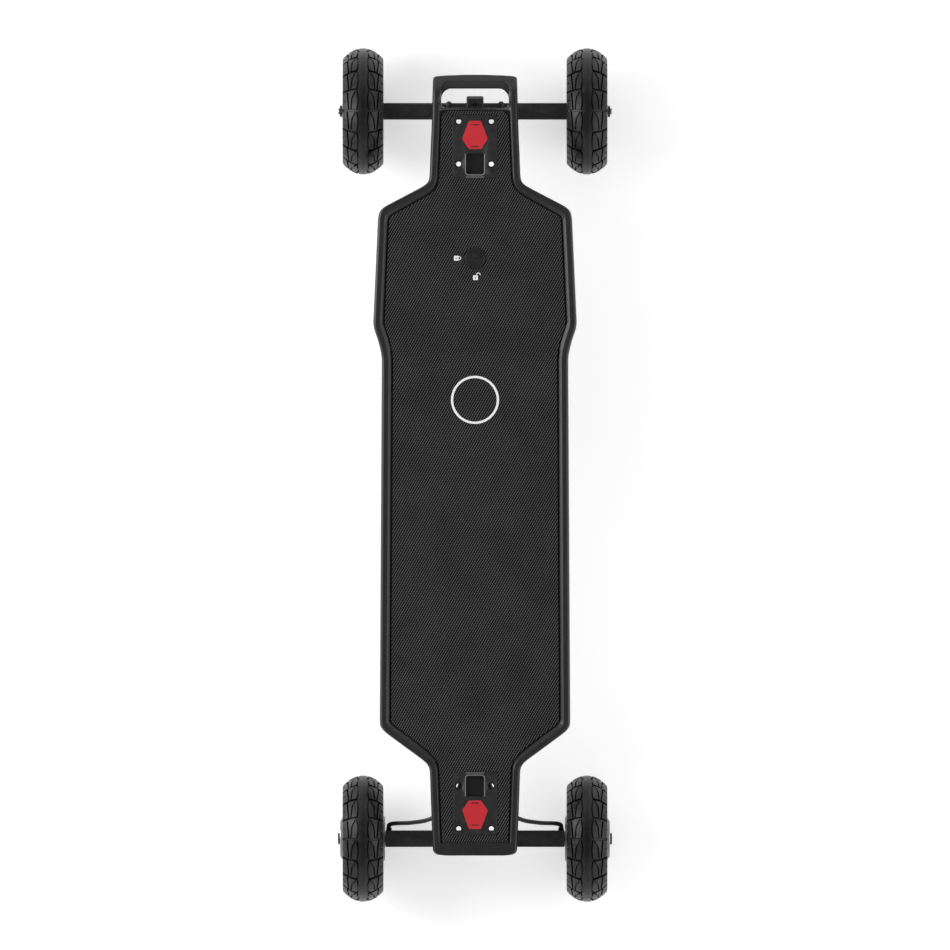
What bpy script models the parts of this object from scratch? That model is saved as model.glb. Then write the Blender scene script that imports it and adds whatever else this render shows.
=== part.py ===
"""An all-terrain electric skateboard with double-kingpin trucks and hub motors in its rear wheels.

Frame: +X is the board's right, +Y its nose and +Z up. The origin is on the ground, under the middle
of the wheelbase. Everything is in metres.
"""

import math

import bmesh
import bpy
from mathutils import Matrix, Vector

# Gaps and mesh settings
GAP = 0.0003
MERGE = 0.000001
SHARP_ANGLE = math.radians(35)
ROUND = 16
FINE_ROUND = 24
SMALL_ROUND = 12
CUTTER_ROUND = 18
WHEEL_ROUND = 28
THROUGH_BOTTOM_Z = 0.100
THROUGH_TOP_Z = 0.180

# Wheels and axles
AXLE_Y = 0.4605
AXLE_Z = 0.080
AXLE_RADIUS = 0.0040
AXLE_HALF_LENGTH = 0.1735
WHEEL_FACETS = 32
TYRE_FACET_RADIUS = 0.080
TYRE_INNER_X = 0.116
TYRE_OUTER_X = 0.1675
RIM_SPOKES = 7
RIM_RADIUS = 0.0537
RIM_INNER_X = 0.1195
RIM_OUTER_X = 0.1640
RIM_WEB_HALF = 0.0120
HUB_HALF = 0.0210
BEARING_HALF = 0.0205
SPOKE_WIDTH = 0.0076
WINDOW_INNER_RADIUS = 0.0235
WINDOW_OUTER_RADIUS = 0.0500
WINDOW_CORNERS = ((WINDOW_INNER_RADIUS, (-1, 1)), (WINDOW_OUTER_RADIUS, (1, 0.5, 0, -0.5, -1)))
HUB_RADIUS = 0.0210
BEARING_RADIUS = 0.0110
AXLE_NUT_RADIUS = 0.0070
AXLE_NUT_LENGTH = 0.0030
FRONT_NUT_INNER_X = 0.1680
MOTOR_RADIUS = 0.0610
MOTOR_INNER_X = 0.1140
MOTOR_OUTER_X = 0.1700
MOTOR_WALL = 0.0050
MOTOR_BORE_RADIUS = 0.0125
MOTOR_SEAM_X = 0.1625
MOTOR_FACE_X = 0.1671
MOTOR_BACK_X = 0.1165
MOTOR_CAP_RADIUS = 0.0226
MOTOR_BOSS_RADIUS = 0.0305

# Deck, from the tail to the nose: pairs of Y and the value there
HALF_WIDTH = (
    (-0.4810, 0.0440),
    (-0.4797, 0.0490),
    (-0.4765, 0.0524),
    (-0.4727, 0.0535),
    (-0.3740, 0.0572),
    (-0.3685, 0.0585),
    (-0.3625, 0.0630),
    (-0.3245, 0.1150),
    (-0.3170, 0.1203),
    (-0.3080, 0.1205),
    (0.1500, 0.1179),
    (0.1668, 0.1217),
    (0.1883, 0.1289),
    (0.3240, 0.1228),
    (0.3325, 0.1212),
    (0.3385, 0.1160),
    (0.3640, 0.0672),
    (0.3690, 0.0600),
    (0.3750, 0.0576),
    (0.4450, 0.0547),
    (0.4985, 0.0533),
    (0.5020, 0.0525),
    (0.5044, 0.0500),
    (0.5060, 0.0430),
)
TOP_HEIGHT = (
    (-0.4810, 0.1620),
    (-0.3700, 0.1620),
    (-0.3180, 0.1538),
    (0.1500, 0.1538),
    (0.1883, 0.1586),
    (0.3300, 0.1557),
    (0.3720, 0.1620),
    (0.4870, 0.1620),
    (0.4990, 0.1545),
    (0.5060, 0.1492),
)
UNDERSIDE_HEIGHT = (
    (-0.4810, 0.1443),
    (-0.3740, 0.1443),
    (-0.3180, 0.1349),
    (0.3180, 0.1349),
    (0.3560, 0.1386),
    (0.3765, 0.1443),
    (0.5060, 0.1443),
)
SIDE_BAND = 0.0096
SIDE_UNDERCUT = 0.0080
EDGE_SOFTENING = 0.0012
RIM_BAND = 0.0095
RIM_SLOPE = 0.0045
RECESS_DEPTH = 0.0052
MAT_THICKNESS = 0.0024
MAT_FRONT_Y = 0.4607
MAT_REAR_Y = -0.4650
HANDLE_HALF_WIDTH = 0.0424
HANDLE_REAR_Y = 0.4640
HANDLE_FRONT_Y = 0.4902
HANDLE_BOW = 0.0034
HANDLE_CORNER = 0.0105
LIP_HALF_WIDTH = 0.0362
LIP_TOP_Z = 0.1592
LIP_REACH = 0.0130
NOTCH_HALF_WIDTH = 0.0115
NOTCH_FRONT_Y = -0.4735
NOTCH_REAR_Y = -0.5000
NOTCH_TOP_Z = 0.1520

# Truck bolts and the plates in the mat
BOLT_SPACING_X = 0.0413
BOLT_SPACING_Y = 0.0540
BOLT_HOLE_RADIUS = 0.0032
BOLT_CENTRE_Y = 0.4200
PLATE_HALF_WIDTH = 0.0285
PLATE_INNER_Y = 0.3755
PLATE_OUTER_Y = 0.4550
PLATE_THICKNESS = 0.0030
PLATE_CORNER = 0.0030
KINGPIN_WINDOW_HALF_WIDTH = 0.0120
KINGPIN_WINDOW_INNER_Y = 0.3800
KINGPIN_WINDOW_OUTER_Y = 0.4070
KINGPIN_WINDOW_FLOOR_Z = 0.1500
BOLT_FACETS = 8

# Trucks: lengths along each kingpin run up from the underside of its nut
STEER_TILT = math.radians(30)
KINGPIN_TILT = math.radians(20)
OUTER_KINGPIN_FOOT = (0.4440, 0.0810)
INNER_KINGPIN_FOOT = (0.4100, 0.1000)
NUT_TOP = 0.0065
WASHER_TOP = 0.0085
LOWER_BUSHING_TOP = 0.0172
RING_BOTTOM = 0.0175
RING_TOP = 0.0245
UPPER_BUSHING_TOP = 0.0337
SEAT_BOTTOM = 0.0340
BASEPLATE_SEAT_TOP = 0.0395
ARM_SEAT_TOP = 0.0430
INNER_KINGPIN_TOP = 0.0425
OUTER_KINGPIN_TOP = 0.0409
NUT_ROOM_BOTTOM = -0.0200
KINGPIN_CUT_BOTTOM = 0.0250
KINGPIN_CUT_TOP = 0.0300
OUTER_BORE_TOP = 0.0412
RING_CENTRE = (RING_BOTTOM + RING_TOP) / 2
KINGPIN_RADIUS = 0.0048
NUT_RADIUS = 0.0070
WASHER_RADIUS = 0.0118
BUSHING_RADIUS = 0.0130
BUSHING_BULGE = 0.0010
BASEPLATE_SEAT_RADIUS = 0.0145
ARM_SEAT_RADIUS = 0.0134
RING_BORE_RADIUS = 0.0068
RING_RADIUS = 0.0172
RING_SKIRT = 0.0050
POCKET_RADIUS = 0.0143
PIN_RADIUS = 0.0050
PIN_BORE_RADIUS = 0.0055
CUP_RADIUS = 0.0073
PIN_ROOT = 0.0150
PIN_CUT_START = 0.0100
ARM_PIN_TIP = 0.0300
ARM_PIN_CUT_END = 0.0310
HANGER_PIN_TIP = 0.0385
CUP_START = 0.0275
CUP_END = 0.0405
HANGER_BAR_WIDTH = 0.0210
HANGER_BAR_HEIGHT = 0.0200
HANGER_BAR_CHAMFER = 0.0025
FRONT_BAR_HALF_LENGTH = 0.1157
REAR_BAR_HALF_LENGTH = 0.1135
AXLE_BORE_HALF_LENGTH = 0.1300
BOSS_HALF_WIDTH = 0.0100
LINK_HALF_WIDTH = 0.0095
PIVOT_HALF_WIDTH = 0.0108
WEB_HALF_WIDTH = 0.0080
BASEPLATE_INNER_Y = 0.3765
BASEPLATE_OUTER_Y = 0.4590
BASEPLATE_CORNER = 0.0040
BASEPLATE_HALF_WIDTH = 0.0285
BASEPLATE_BOTTOM_Z = 0.1395

# Battery bay
BATTERY_HALF_WIDTH = 0.0848
BATTERY_REAR_Y = 0.0290
BATTERY_FRONT_Y = 0.3040
BATTERY_CORNER = 0.0270
BATTERY_FLAT_HALF_WIDTH = 0.0735
BATTERY_FLAT_REAR_Y = 0.0417
BATTERY_FLAT_FRONT_Y = 0.2900
BATTERY_FLAT_CORNER = 0.0170
BATTERY_SHOULDER_Z = 0.1180
BATTERY_BOTTOM_Z = 0.0925
BATTERY_TOP_Z = 0.1410
BATTERY_WALL = 0.0030
BATTERY_LID_THICKNESS = 0.0030
BATTERY_HINGE_Y = 0.0160
BATTERY_HINGE_Z = 0.1240
BATTERY_LUG_RADIUS = 0.0035
BATTERY_LUG_X = 0.0500
BATTERY_LUG_HALF_WIDTH = 0.0120
CELLS_HALF_WIDTH = 0.0690
CELLS_REAR_Y = 0.0500
CELLS_FRONT_Y = 0.2560
BAY_HALF_WIDTH = 0.0862
BAY_CEILING_Z = 0.1430
FINGER_CEILING_Z = 0.1410
BAY_FRONT_Y = 0.3055
BAY_REAR_Y = 0.0095
BAY_CORNER = 0.0280
BAY_REAR_CORNER = 0.0060
TRAY_HALF_WIDTH = 0.0940
TRAY_FRONT_Y = 0.3147
TRAY_REAR_Y = 0.0010
TRAY_BOTTOM_Z = 0.1260
TRAY_LEDGE_Z = 0.1178
TRAY_LEDGE_FRONT_Y = 0.0255
TRAY_CORNER = 0.0340
TRAY_REAR_CORNER = 0.0120
TRAY_SLOPE = 0.0055
TRAY_LEDGE_INSET = 0.0090
TRAY_LEDGE_SKIN = 0.0020
FIN_INNER_X = 0.0188
FIN_OUTER_X = 0.0310
FINGER_REAR_Y = 0.2900
FINGER_SIDE_Y = 0.3300
FINGER_FRONT_Y = 0.3400
FINGER_FRONT_HALF_WIDTH = 0.0140

# Battery lock
LOCK_Y = 0.2740
LOCK_BEZEL_RADIUS = 0.0129
LOCK_BEZEL_RISE = 0.0012
LOCK_KNOB_RADIUS = 0.0100
LOCK_KNOB_RISE = 0.0006
LOCK_CHAMFER = 0.0009
LOCK_SHAFT_RADIUS = 0.0040
LOCK_KEY_LENGTH = 0.0200
LOCK_KEY_WIDTH = 0.0050
LOCK_KEY_BOTTOM_Z = 0.1295
LOCK_KEY_TOP_Z = 0.1335
KEY_SLOT_MARGIN = 0.0022

# Controller bay and its button
CONTROLLER_HALF_WIDTH = 0.0885
CONTROLLER_FLAT_HALF_WIDTH = 0.0800
CONTROLLER_FRONT_Y = -0.1265
CONTROLLER_REAR_Y = -0.3025
CONTROLLER_SLOPE_Y = 0.0085
CONTROLLER_BOTTOM_Z = 0.1178
CONTROLLER_WALL = 0.0025
CONTROLLER_CORNER = 0.0160
CONTROLLER_FLAT_CORNER = 0.0100
CONTROLLER_HOLLOW_HALF_WIDTH = 0.0760
CONTROLLER_HOLLOW_REAR_Y = -0.2860
CONTROLLER_HOLLOW_FRONT_Y = -0.1370
BOARD_LOW = (-0.0700, -0.2760, 0.1290)
BOARD_HIGH = (0.0700, -0.1400, 0.1306)
HEAT_SINK_LOW = (-0.0600, -0.2300, 0.1300)
HEAT_SINK_HIGH = (0.0600, -0.1500, 0.1400)
BUTTON_RADIUS = 0.0087
BUTTON_X = -0.0310
BUTTON_Y = -0.2640
BUTTON_FACE_Z = 0.1152
BUTTON_FACE_RADIUS = 0.0078
BUTTON_CHAMFER = 0.0009
BUTTON_TOP_Z = 0.1240

# Motor cables
CABLE_X = 0.0158
CABLE_RADIUS = 0.00275
CONNECTOR_Z = 0.1268
CONNECTOR_START_Y = -0.3028
SOCKET_LENGTH = 0.0272
SOCKET_RADIUS = 0.0065
PLUG_LENGTH = 0.0572
PLUG_RADIUS = 0.0048


def clear_scene():
    for obj in list(bpy.data.objects):
        bpy.data.objects.remove(obj, do_unlink=True)


def read_table(table, y):
    """The value at y on straight lines between a table's pairs."""
    for (y0, v0), (y1, v1) in zip(table, table[1:]):
        if y <= y1:
            return v0 + (v1 - v0) * max(0.0, y - y0) / (y1 - y0)
    return table[-1][1]


def own_material(name, colour, roughness, metallic):
    material = bpy.data.materials.new(name)
    material.use_nodes = True
    shader = material.node_tree.nodes["Principled BSDF"]
    shader.inputs["Base Color"].default_value = (*colour, 1.0)
    shader.inputs["Roughness"].default_value = roughness
    shader.inputs["Metallic"].default_value = metallic
    return material


BLACK_PLASTIC = ((0.020, 0.020, 0.021), 0.55, 0.0)
DARK_PLASTIC = ((0.035, 0.035, 0.036), 0.50, 0.0)
GREY_METAL = ((0.075, 0.075, 0.078), 0.40, 0.7)
BRIGHT_METAL = ((0.55, 0.55, 0.56), 0.30, 1.0)
BLACK_METAL = ((0.025, 0.025, 0.026), 0.40, 0.6)
TYRE_RUBBER = ((0.018, 0.018, 0.018), 0.80, 0.0)
GREY_RUBBER = ((0.32, 0.32, 0.33), 0.45, 0.0)
GRIP_RUBBER = ((0.022, 0.022, 0.022), 0.90, 0.0)
GREEN_BOARD = ((0.02, 0.10, 0.05), 0.50, 0.0)
CELL_WRAP = ((0.05, 0.14, 0.30), 0.45, 0.0)
COPPER = ((0.60, 0.30, 0.16), 0.35, 0.9)


def link(name, bm, finish):
    """Closes a bmesh into a named object with its own material."""
    bmesh.ops.remove_doubles(bm, verts=bm.verts, dist=MERGE)
    bmesh.ops.recalc_face_normals(bm, faces=bm.faces)
    mesh = bpy.data.meshes.new(name)
    bm.to_mesh(mesh)
    bm.free()
    mesh.shade_smooth()
    mesh.set_sharp_from_angle(angle=SHARP_ANGLE)
    obj = bpy.data.objects.new(name, mesh)
    bpy.context.scene.collection.objects.link(obj)
    if finish:
        mesh.materials.append(own_material(name, *finish))
    else:
        obj.hide_render = True
        obj.display_type = "WIRE"
    return obj


def turned(name, profile, finish, segments=ROUND, phase=0.0):
    """A profile of (radius, height) turned about Z. One that ends on the axis is closed by the turn."""
    bm = bmesh.new()
    points = [bm.verts.new((r * math.cos(phase), r * math.sin(phase), h)) for r, h in profile]
    pairs = list(zip(points, points[1:]))
    if profile[0][0] > 0 or profile[-1][0] > 0:
        pairs.append((points[-1], points[0]))
    edges = [bm.edges.new(pair) for pair in pairs]
    bmesh.ops.spin(
        bm,
        geom=points + edges,
        cent=(0, 0, 0),
        axis=(0, 0, 1),
        angle=math.tau,
        steps=segments,
        use_merge=True,
    )
    return link(name, bm, finish)


def cylinder(name, radius, bottom, top, finish=None, segments=CUTTER_ROUND):
    return turned(name, ((0, bottom), (radius, bottom), (radius, top), (0, top)), finish, segments)


def extrude_outline(name, corners, travel, finish):
    """A flat outline of 3-D corners, extruded by the vector travel."""
    bm = bmesh.new()
    face = bm.faces.new([bm.verts.new(corner) for corner in corners])
    grown = bmesh.ops.extrude_face_region(bm, geom=[face], use_keep_orig=True)
    moved = [item for item in grown["geom"] if isinstance(item, bmesh.types.BMVert)]
    bmesh.ops.translate(bm, verts=moved, vec=travel)
    return link(name, bm, finish)


def slab(name, outline, bottom, top, finish):
    """An outline in X and Y between two heights."""
    corners = [(x, y, bottom) for x, y in outline]
    return extrude_outline(name, corners, (0, 0, top - bottom), finish)


def side_plate(name, outline, half_width, finish):
    """An outline in Y and Z, as thick as twice half_width across X."""
    corners = [(-half_width, y, z) for y, z in outline]
    return extrude_outline(name, corners, (2 * half_width, 0, 0), finish)


def block(name, low, high, finish):
    outline = ((low[0], low[1]), (high[0], low[1]), (high[0], high[1]), (low[0], high[1]))
    return slab(name, outline, low[2], high[2], finish)


def rounded_outline(half_x, y0, y1, corner, steps=4, rear_corner=None):
    """A rectangle in X and Y with round corners, which may be smaller at y0 than at y1."""
    rear = corner if rear_corner is None else rear_corner
    centres = ((half_x - corner, y1 - corner, corner), (corner - half_x, y1 - corner, corner))
    centres += ((rear - half_x, y0 + rear, rear), (half_x - rear, y0 + rear, rear))
    outline = []
    for quarter, (cx, cy, radius) in enumerate(centres):
        for step in range(steps + 1):
            angle = (quarter + step / steps) * math.pi / 2
            outline.append((cx + radius * math.cos(angle), cy + radius * math.sin(angle)))
    return outline


def bridged(name, rings, finish):
    """Rings of points, each joined to the next and closed at both ends."""
    bm = bmesh.new()
    made = [[bm.verts.new(point) for point in ring] for ring in rings]
    for ring, following in zip(made, made[1:]):
        for i in range(len(ring)):
            j = (i + 1) % len(ring)
            bm.faces.new((ring[i], ring[j], following[j], following[i]))
    bm.faces.new(made[0])
    bm.faces.new(made[-1])
    return link(name, bm, finish)


def loft(name, stations, section, finish):
    """Cross-sections in X and Z at rising Y stations, joined into one body."""
    return bridged(name, [[(x, y, z) for x, z in section(y)] for y in stations], finish)


def mirrored_section(right_side):
    """A whole section from its right side, listed from the bottom to the top."""
    return right_side + [(-x, z) for x, z in reversed(right_side)]


def stacked(name, outlines, finish):
    """Outlines in X and Y at rising heights, each with as many points as the last."""
    return bridged(name, [[(x, y, z) for x, y in outline] for outline, z in outlines], finish)


def combine(target, operation, tools):
    """Adds a Boolean modifier for each tool, which then only guides."""
    for tool in tools:
        modifier = target.modifiers.new(tool.name, "BOOLEAN")
        modifier.operation = operation
        modifier.object = tool
        modifier.solver = "EXACT"


def unite(target, *tools):
    combine(target, "UNION", tools)


def subtract(target, *tools):
    combine(target, "DIFFERENCE", tools)


def hold(objects, empty):
    """Parents objects to an empty without moving them."""
    bpy.context.view_layer.update()
    for obj in objects:
        obj.parent = empty
        obj.matrix_parent_inverse = empty.matrix_world.inverted()


def joint_empty(name, location):
    empty = bpy.data.objects.new(name, None)
    empty.location = location
    empty.empty_display_size = 0.03
    bpy.context.scene.collection.objects.link(empty)
    return empty


def along_x(obj, centre, side):
    """Turns a piece made about Z so that its height runs outwards along X."""
    obj.matrix_world = Matrix.Translation(centre) @ Matrix.Rotation(side * math.pi / 2, 4, "Y")
    return obj


def along_z(obj, centre):
    obj.matrix_world = Matrix.Translation(centre)
    return obj


def offset_half_width(y, inset):
    """How far from the centre line a point at y can be and stay inset from the deck's edge."""
    edge = [Vector((w, station)) for station, w in HALF_WIDTH]
    low, high = 0.0, read_table(HALF_WIDTH, y)
    for _ in range(20):
        middle = (low + high) / 2
        point = Vector((middle, y))
        if min(segment_distance(point, a, b) for a, b in zip(edge, edge[1:])) >= inset:
            low = middle
        else:
            high = middle
    return low


def segment_distance(point, start, end):
    along = end - start
    share = (point - start).dot(along) / along.length_squared
    return (point - start - along * min(1.0, max(0.0, share))).length


# ---------------------------------------------------------------- deck


def deck_section(y):
    half = read_table(HALF_WIDTH, y)
    top = read_table(TOP_HEIGHT, y)
    under = read_table(UNDERSIDE_HEIGHT, y)
    band = max(top - SIDE_BAND, under + EDGE_SOFTENING)
    side = [(half - SIDE_UNDERCUT, under), (half - EDGE_SOFTENING, band)]
    side += [(half, band + EDGE_SOFTENING / 2), (half, top - EDGE_SOFTENING)]
    return mirrored_section(side + [(half - EDGE_SOFTENING, top)])


def recess_section(y):
    """The hollow that the grip mat lies in, with sloping walls. It reaches clear above the rim."""
    top = read_table(TOP_HEIGHT, y)
    mouth = offset_half_width(y, RIM_BAND)
    floor = offset_half_width(y, RIM_BAND + RIM_SLOPE)
    return mirrored_section([(floor, top - RECESS_DEPTH), (mouth, top), (mouth, top + RIM_BAND)])


def mat_section(y):
    half = offset_half_width(y, RIM_BAND + RIM_SLOPE + GAP)
    floor = read_table(TOP_HEIGHT, y) - RECESS_DEPTH + GAP
    return mirrored_section([(half, floor), (half, floor + MAT_THICKNESS)])


def deck_stations():
    found = {y for table in (HALF_WIDTH, TOP_HEIGHT, UNDERSIDE_HEIGHT) for y, _ in table}
    return sorted(found)


def mat_stations():
    """Close together in the two flares, where the edge turns."""
    found = [MAT_REAR_Y + GAP, -0.420, -0.376, -0.366, -0.356, -0.346, -0.336, -0.326, -0.318, -0.306]
    found += [-0.296, 0.150, 0.1668, 0.1883, 0.300, 0.312, 0.321, 0.330, 0.340, 0.350, 0.360, 0.372]
    return found + [0.385, 0.420, MAT_FRONT_Y - GAP]


def bolt_holes(name, end):
    """Four upright cylinders on the truck's bolt pattern."""
    bm = bmesh.new()
    for across in (-0.5, 0.5):
        for along in (-0.5, 0.5):
            y = end * BOLT_CENTRE_Y + along * BOLT_SPACING_Y
            centre = (across * BOLT_SPACING_X, y, (THROUGH_BOTTOM_Z + THROUGH_TOP_Z) / 2)
            bmesh.ops.create_cone(
                bm,
                cap_ends=True,
                segments=BOLT_FACETS,
                radius1=BOLT_HOLE_RADIUS,
                radius2=BOLT_HOLE_RADIUS,
                depth=THROUGH_TOP_Z - THROUGH_BOTTOM_Z,
                matrix=Matrix.Translation(centre),
            )
    return link(name, bm, None)


def plate_span(end, inner, outer):
    return tuple(sorted((end * inner, end * outer)))


def handle_outline():
    """The hand hold's opening, whose front edge is bowed."""
    outline = rounded_outline(HANDLE_HALF_WIDTH, HANDLE_REAR_Y, HANDLE_FRONT_Y, HANDLE_CORNER)
    middle = (HANDLE_REAR_Y + HANDLE_FRONT_Y) / 2
    bowed = []
    for x, y in outline:
        drop = HANDLE_BOW * (x / HANDLE_HALF_WIDTH) ** 2 if y > middle else 0.0
        bowed.append((x, y - drop))
    return bowed


def cut_handle(shell):
    """Opens the hand hold, and lowers the lip between it and the mat."""
    subtract(shell, slab("handle_cutter", handle_outline(), THROUGH_BOTTOM_Z, THROUGH_TOP_Z, None))
    low = (-LIP_HALF_WIDTH, MAT_FRONT_Y - LIP_REACH, LIP_TOP_Z)
    high = (LIP_HALF_WIDTH, (HANDLE_REAR_Y + HANDLE_FRONT_Y) / 2, THROUGH_TOP_Z)
    subtract(shell, block("lip_cutter", low, high, None))


def cut_underside(shell):
    """The notch at the tail, and the bays for the battery, the fingers, the lock and the controller."""
    low = (-NOTCH_HALF_WIDTH, NOTCH_REAR_Y, THROUGH_BOTTOM_Z)
    high = (NOTCH_HALF_WIDTH, NOTCH_FRONT_Y, NOTCH_TOP_Z)
    notch = block("notch_cutter", low, high, None)
    bay = slab("battery_bay_cutter", bay_outline(), THROUGH_BOTTOM_Z, BAY_CEILING_Z, None)
    low = (-CONTROLLER_HOLLOW_HALF_WIDTH, CONTROLLER_HOLLOW_REAR_Y, THROUGH_BOTTOM_Z)
    high = (CONTROLLER_HOLLOW_HALF_WIDTH, CONTROLLER_HOLLOW_FRONT_Y, BAY_CEILING_Z)
    controller = block("controller_bay_cutter", low, high, None)
    finger = slab("finger_cutter", finger_outline(), THROUGH_BOTTOM_Z, FINGER_CEILING_Z, None)
    shaft = cylinder(
        "lock_shaft_cutter",
        LOCK_SHAFT_RADIUS + 2 * GAP,
        THROUGH_BOTTOM_Z,
        THROUGH_TOP_Z,
        None,
        SMALL_ROUND,
    )
    subtract(shell, notch, bay, controller, finger, along_z(shaft, (0, LOCK_Y, 0)))


def build_deck():
    shell = loft("deck_shell", deck_stations(), deck_section, DARK_PLASTIC)
    mat = loft("grip_mat", mat_stations(), mat_section, GRIP_RUBBER)
    stations = [MAT_REAR_Y] + mat_stations()[1:-1] + [MAT_FRONT_Y]
    subtract(shell, loft("recess_cutter", stations, recess_section, None))
    cut_handle(shell)
    cut_underside(shell)
    build_top_plate("front", 1, shell, mat)
    build_top_plate("rear", -1, shell, mat)
    build_lock_bezel(mat)


def bay_outline():
    return rounded_outline(BAY_HALF_WIDTH, BAY_REAR_Y, BAY_FRONT_Y, BAY_CORNER, 3, BAY_REAR_CORNER)


def finger_outline():
    """The recess ahead of the battery that takes two fingers."""
    right = (
        (FIN_INNER_X, FINGER_REAR_Y),
        (FIN_INNER_X, FINGER_SIDE_Y),
        (FINGER_FRONT_HALF_WIDTH, FINGER_FRONT_Y),
    )
    return right + tuple((-x, y) for x, y in reversed(right))


def build_top_plate(name, end, shell, mat):
    """The recessed plate over a truck, with its four bolt holes and a window over the inner kingpin."""
    y0, y1 = plate_span(end, PLATE_INNER_Y, PLATE_OUTER_Y)
    floor = TOP_HEIGHT[0][1] - RECESS_DEPTH + GAP
    outline = rounded_outline(PLATE_HALF_WIDTH, y0, y1, PLATE_CORNER, 2)
    plate = slab(name + "_top_plate", outline, floor, floor + PLATE_THICKNESS, GREY_METAL)
    bed = rounded_outline(PLATE_HALF_WIDTH + GAP, y0 - GAP, y1 + GAP, PLATE_CORNER, 2)
    subtract(mat, slab(name + "_plate_bed", bed, THROUGH_BOTTOM_Z, THROUGH_TOP_Z, None))
    holes = bolt_holes(name + "_bolt_cutter", end)
    w0, w1 = plate_span(end, KINGPIN_WINDOW_INNER_Y, KINGPIN_WINDOW_OUTER_Y)
    window = block(
        name + "_window_cutter",
        (-KINGPIN_WINDOW_HALF_WIDTH, w0, KINGPIN_WINDOW_FLOOR_Z),
        (KINGPIN_WINDOW_HALF_WIDTH, w1, THROUGH_TOP_Z),
        None,
    )
    subtract(shell, holes, window)
    subtract(plate, holes, window)


def build_lock_bezel(mat):
    floor = read_table(TOP_HEIGHT, LOCK_Y) - RECESS_DEPTH + 2 * GAP
    inner = LOCK_KNOB_RADIUS + GAP
    lip = floor + MAT_THICKNESS + LOCK_BEZEL_RISE
    profile = (
        (inner, floor),
        (LOCK_BEZEL_RADIUS, floor),
        (LOCK_BEZEL_RADIUS, lip - LOCK_CHAMFER),
        (LOCK_BEZEL_RADIUS - LOCK_CHAMFER, lip),
        (inner, lip),
    )
    along_z(turned("lock_bezel", profile, BLACK_PLASTIC, FINE_ROUND), (0, LOCK_Y, 0))
    reach = LOCK_BEZEL_RADIUS + GAP
    hole = cylinder("bezel_cutter", reach, THROUGH_BOTTOM_Z, THROUGH_TOP_Z, None, FINE_ROUND)
    subtract(mat, along_z(hole, (0, LOCK_Y, 0)))


# ---------------------------------------------------------------- battery and its lock


def build_tray():
    """The ridge round the battery bay, with a ledge at its rear that the battery's lugs hook over."""
    slope = TRAY_SLOPE
    ends = (TRAY_REAR_Y + slope, TRAY_FRONT_Y - slope)
    corners = (TRAY_CORNER - slope / 2, 3, TRAY_REAR_CORNER - slope / 3)
    lower = rounded_outline(TRAY_HALF_WIDTH - slope, *ends, *corners)
    upper = rounded_outline(
        TRAY_HALF_WIDTH, TRAY_REAR_Y, TRAY_FRONT_Y, TRAY_CORNER, 3, TRAY_REAR_CORNER
    )
    top = UNDERSIDE_HEIGHT[2][1] - GAP
    tray = stacked("battery_tray", ((lower, TRAY_BOTTOM_Z), (upper, top)), DARK_PLASTIC)
    ledge = side_plate(
        "ledge_former",
        (
            (TRAY_REAR_Y + 0.0004, 0.1330),
            (TRAY_REAR_Y + 0.0078, TRAY_LEDGE_Z),
            (TRAY_LEDGE_FRONT_Y, TRAY_LEDGE_Z),
            (TRAY_LEDGE_FRONT_Y, 0.1330),
        ),
        TRAY_HALF_WIDTH - TRAY_LEDGE_INSET,
        None,
    )
    hollow = slab("tray_cutter", bay_outline(), TRAY_LEDGE_Z + TRAY_LEDGE_SKIN, THROUGH_TOP_Z, None)
    finger = slab("tray_finger_cutter", finger_outline(), THROUGH_BOTTOM_Z, THROUGH_TOP_Z, None)
    unite(tray, ledge, tray_fin("left_fin_former", -1), tray_fin("right_fin_former", 1))
    subtract(tray, hollow, finger)
    return tray


def tray_fin(name, side):
    """A wedge beside the finger recess, sloping down from the deck to the battery's front."""
    outline = (
        (0.3352, 0.1344),
        (0.3250, 0.1250),
        (0.3150, 0.1168),
        (0.3060, 0.1105),
        (0.3060, 0.1344),
    )
    fin = side_plate(name, outline, (FIN_OUTER_X - FIN_INNER_X) / 2, None)
    fin.location.x = side * (FIN_OUTER_X + FIN_INNER_X) / 2
    return fin


def battery_outline(inset):
    corner = BATTERY_CORNER - inset
    ends = (BATTERY_REAR_Y + inset, BATTERY_FRONT_Y - inset)
    return rounded_outline(BATTERY_HALF_WIDTH - inset, *ends, corner, 3)


def build_battery():
    rim = BATTERY_TOP_Z - BATTERY_LID_THICKNESS - GAP
    case = build_battery_case(rim)
    lid = slab("battery_lid", battery_outline(2 * GAP), rim + GAP, BATTERY_TOP_Z, DARK_PLASTIC)
    half_width = LOCK_KEY_WIDTH / 2 + KEY_SLOT_MARGIN
    half_length = LOCK_KEY_LENGTH / 2 + KEY_SLOT_MARGIN
    low = (-half_width, LOCK_Y - half_length, THROUGH_BOTTOM_Z)
    high = (half_width, LOCK_Y + half_length, THROUGH_TOP_Z)
    subtract(lid, block("key_slot_cutter", low, high, None))
    low = (-CELLS_HALF_WIDTH, CELLS_REAR_Y, BATTERY_BOTTOM_Z + BATTERY_WALL + GAP)
    high = (CELLS_HALF_WIDTH, CELLS_FRONT_Y, rim - 4 * GAP)
    cells = block("battery_cells", low, high, CELL_WRAP)
    hold([case, lid, cells], joint_empty("battery_hinge", (0, BATTERY_HINGE_Y, BATTERY_HINGE_Z)))


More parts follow.
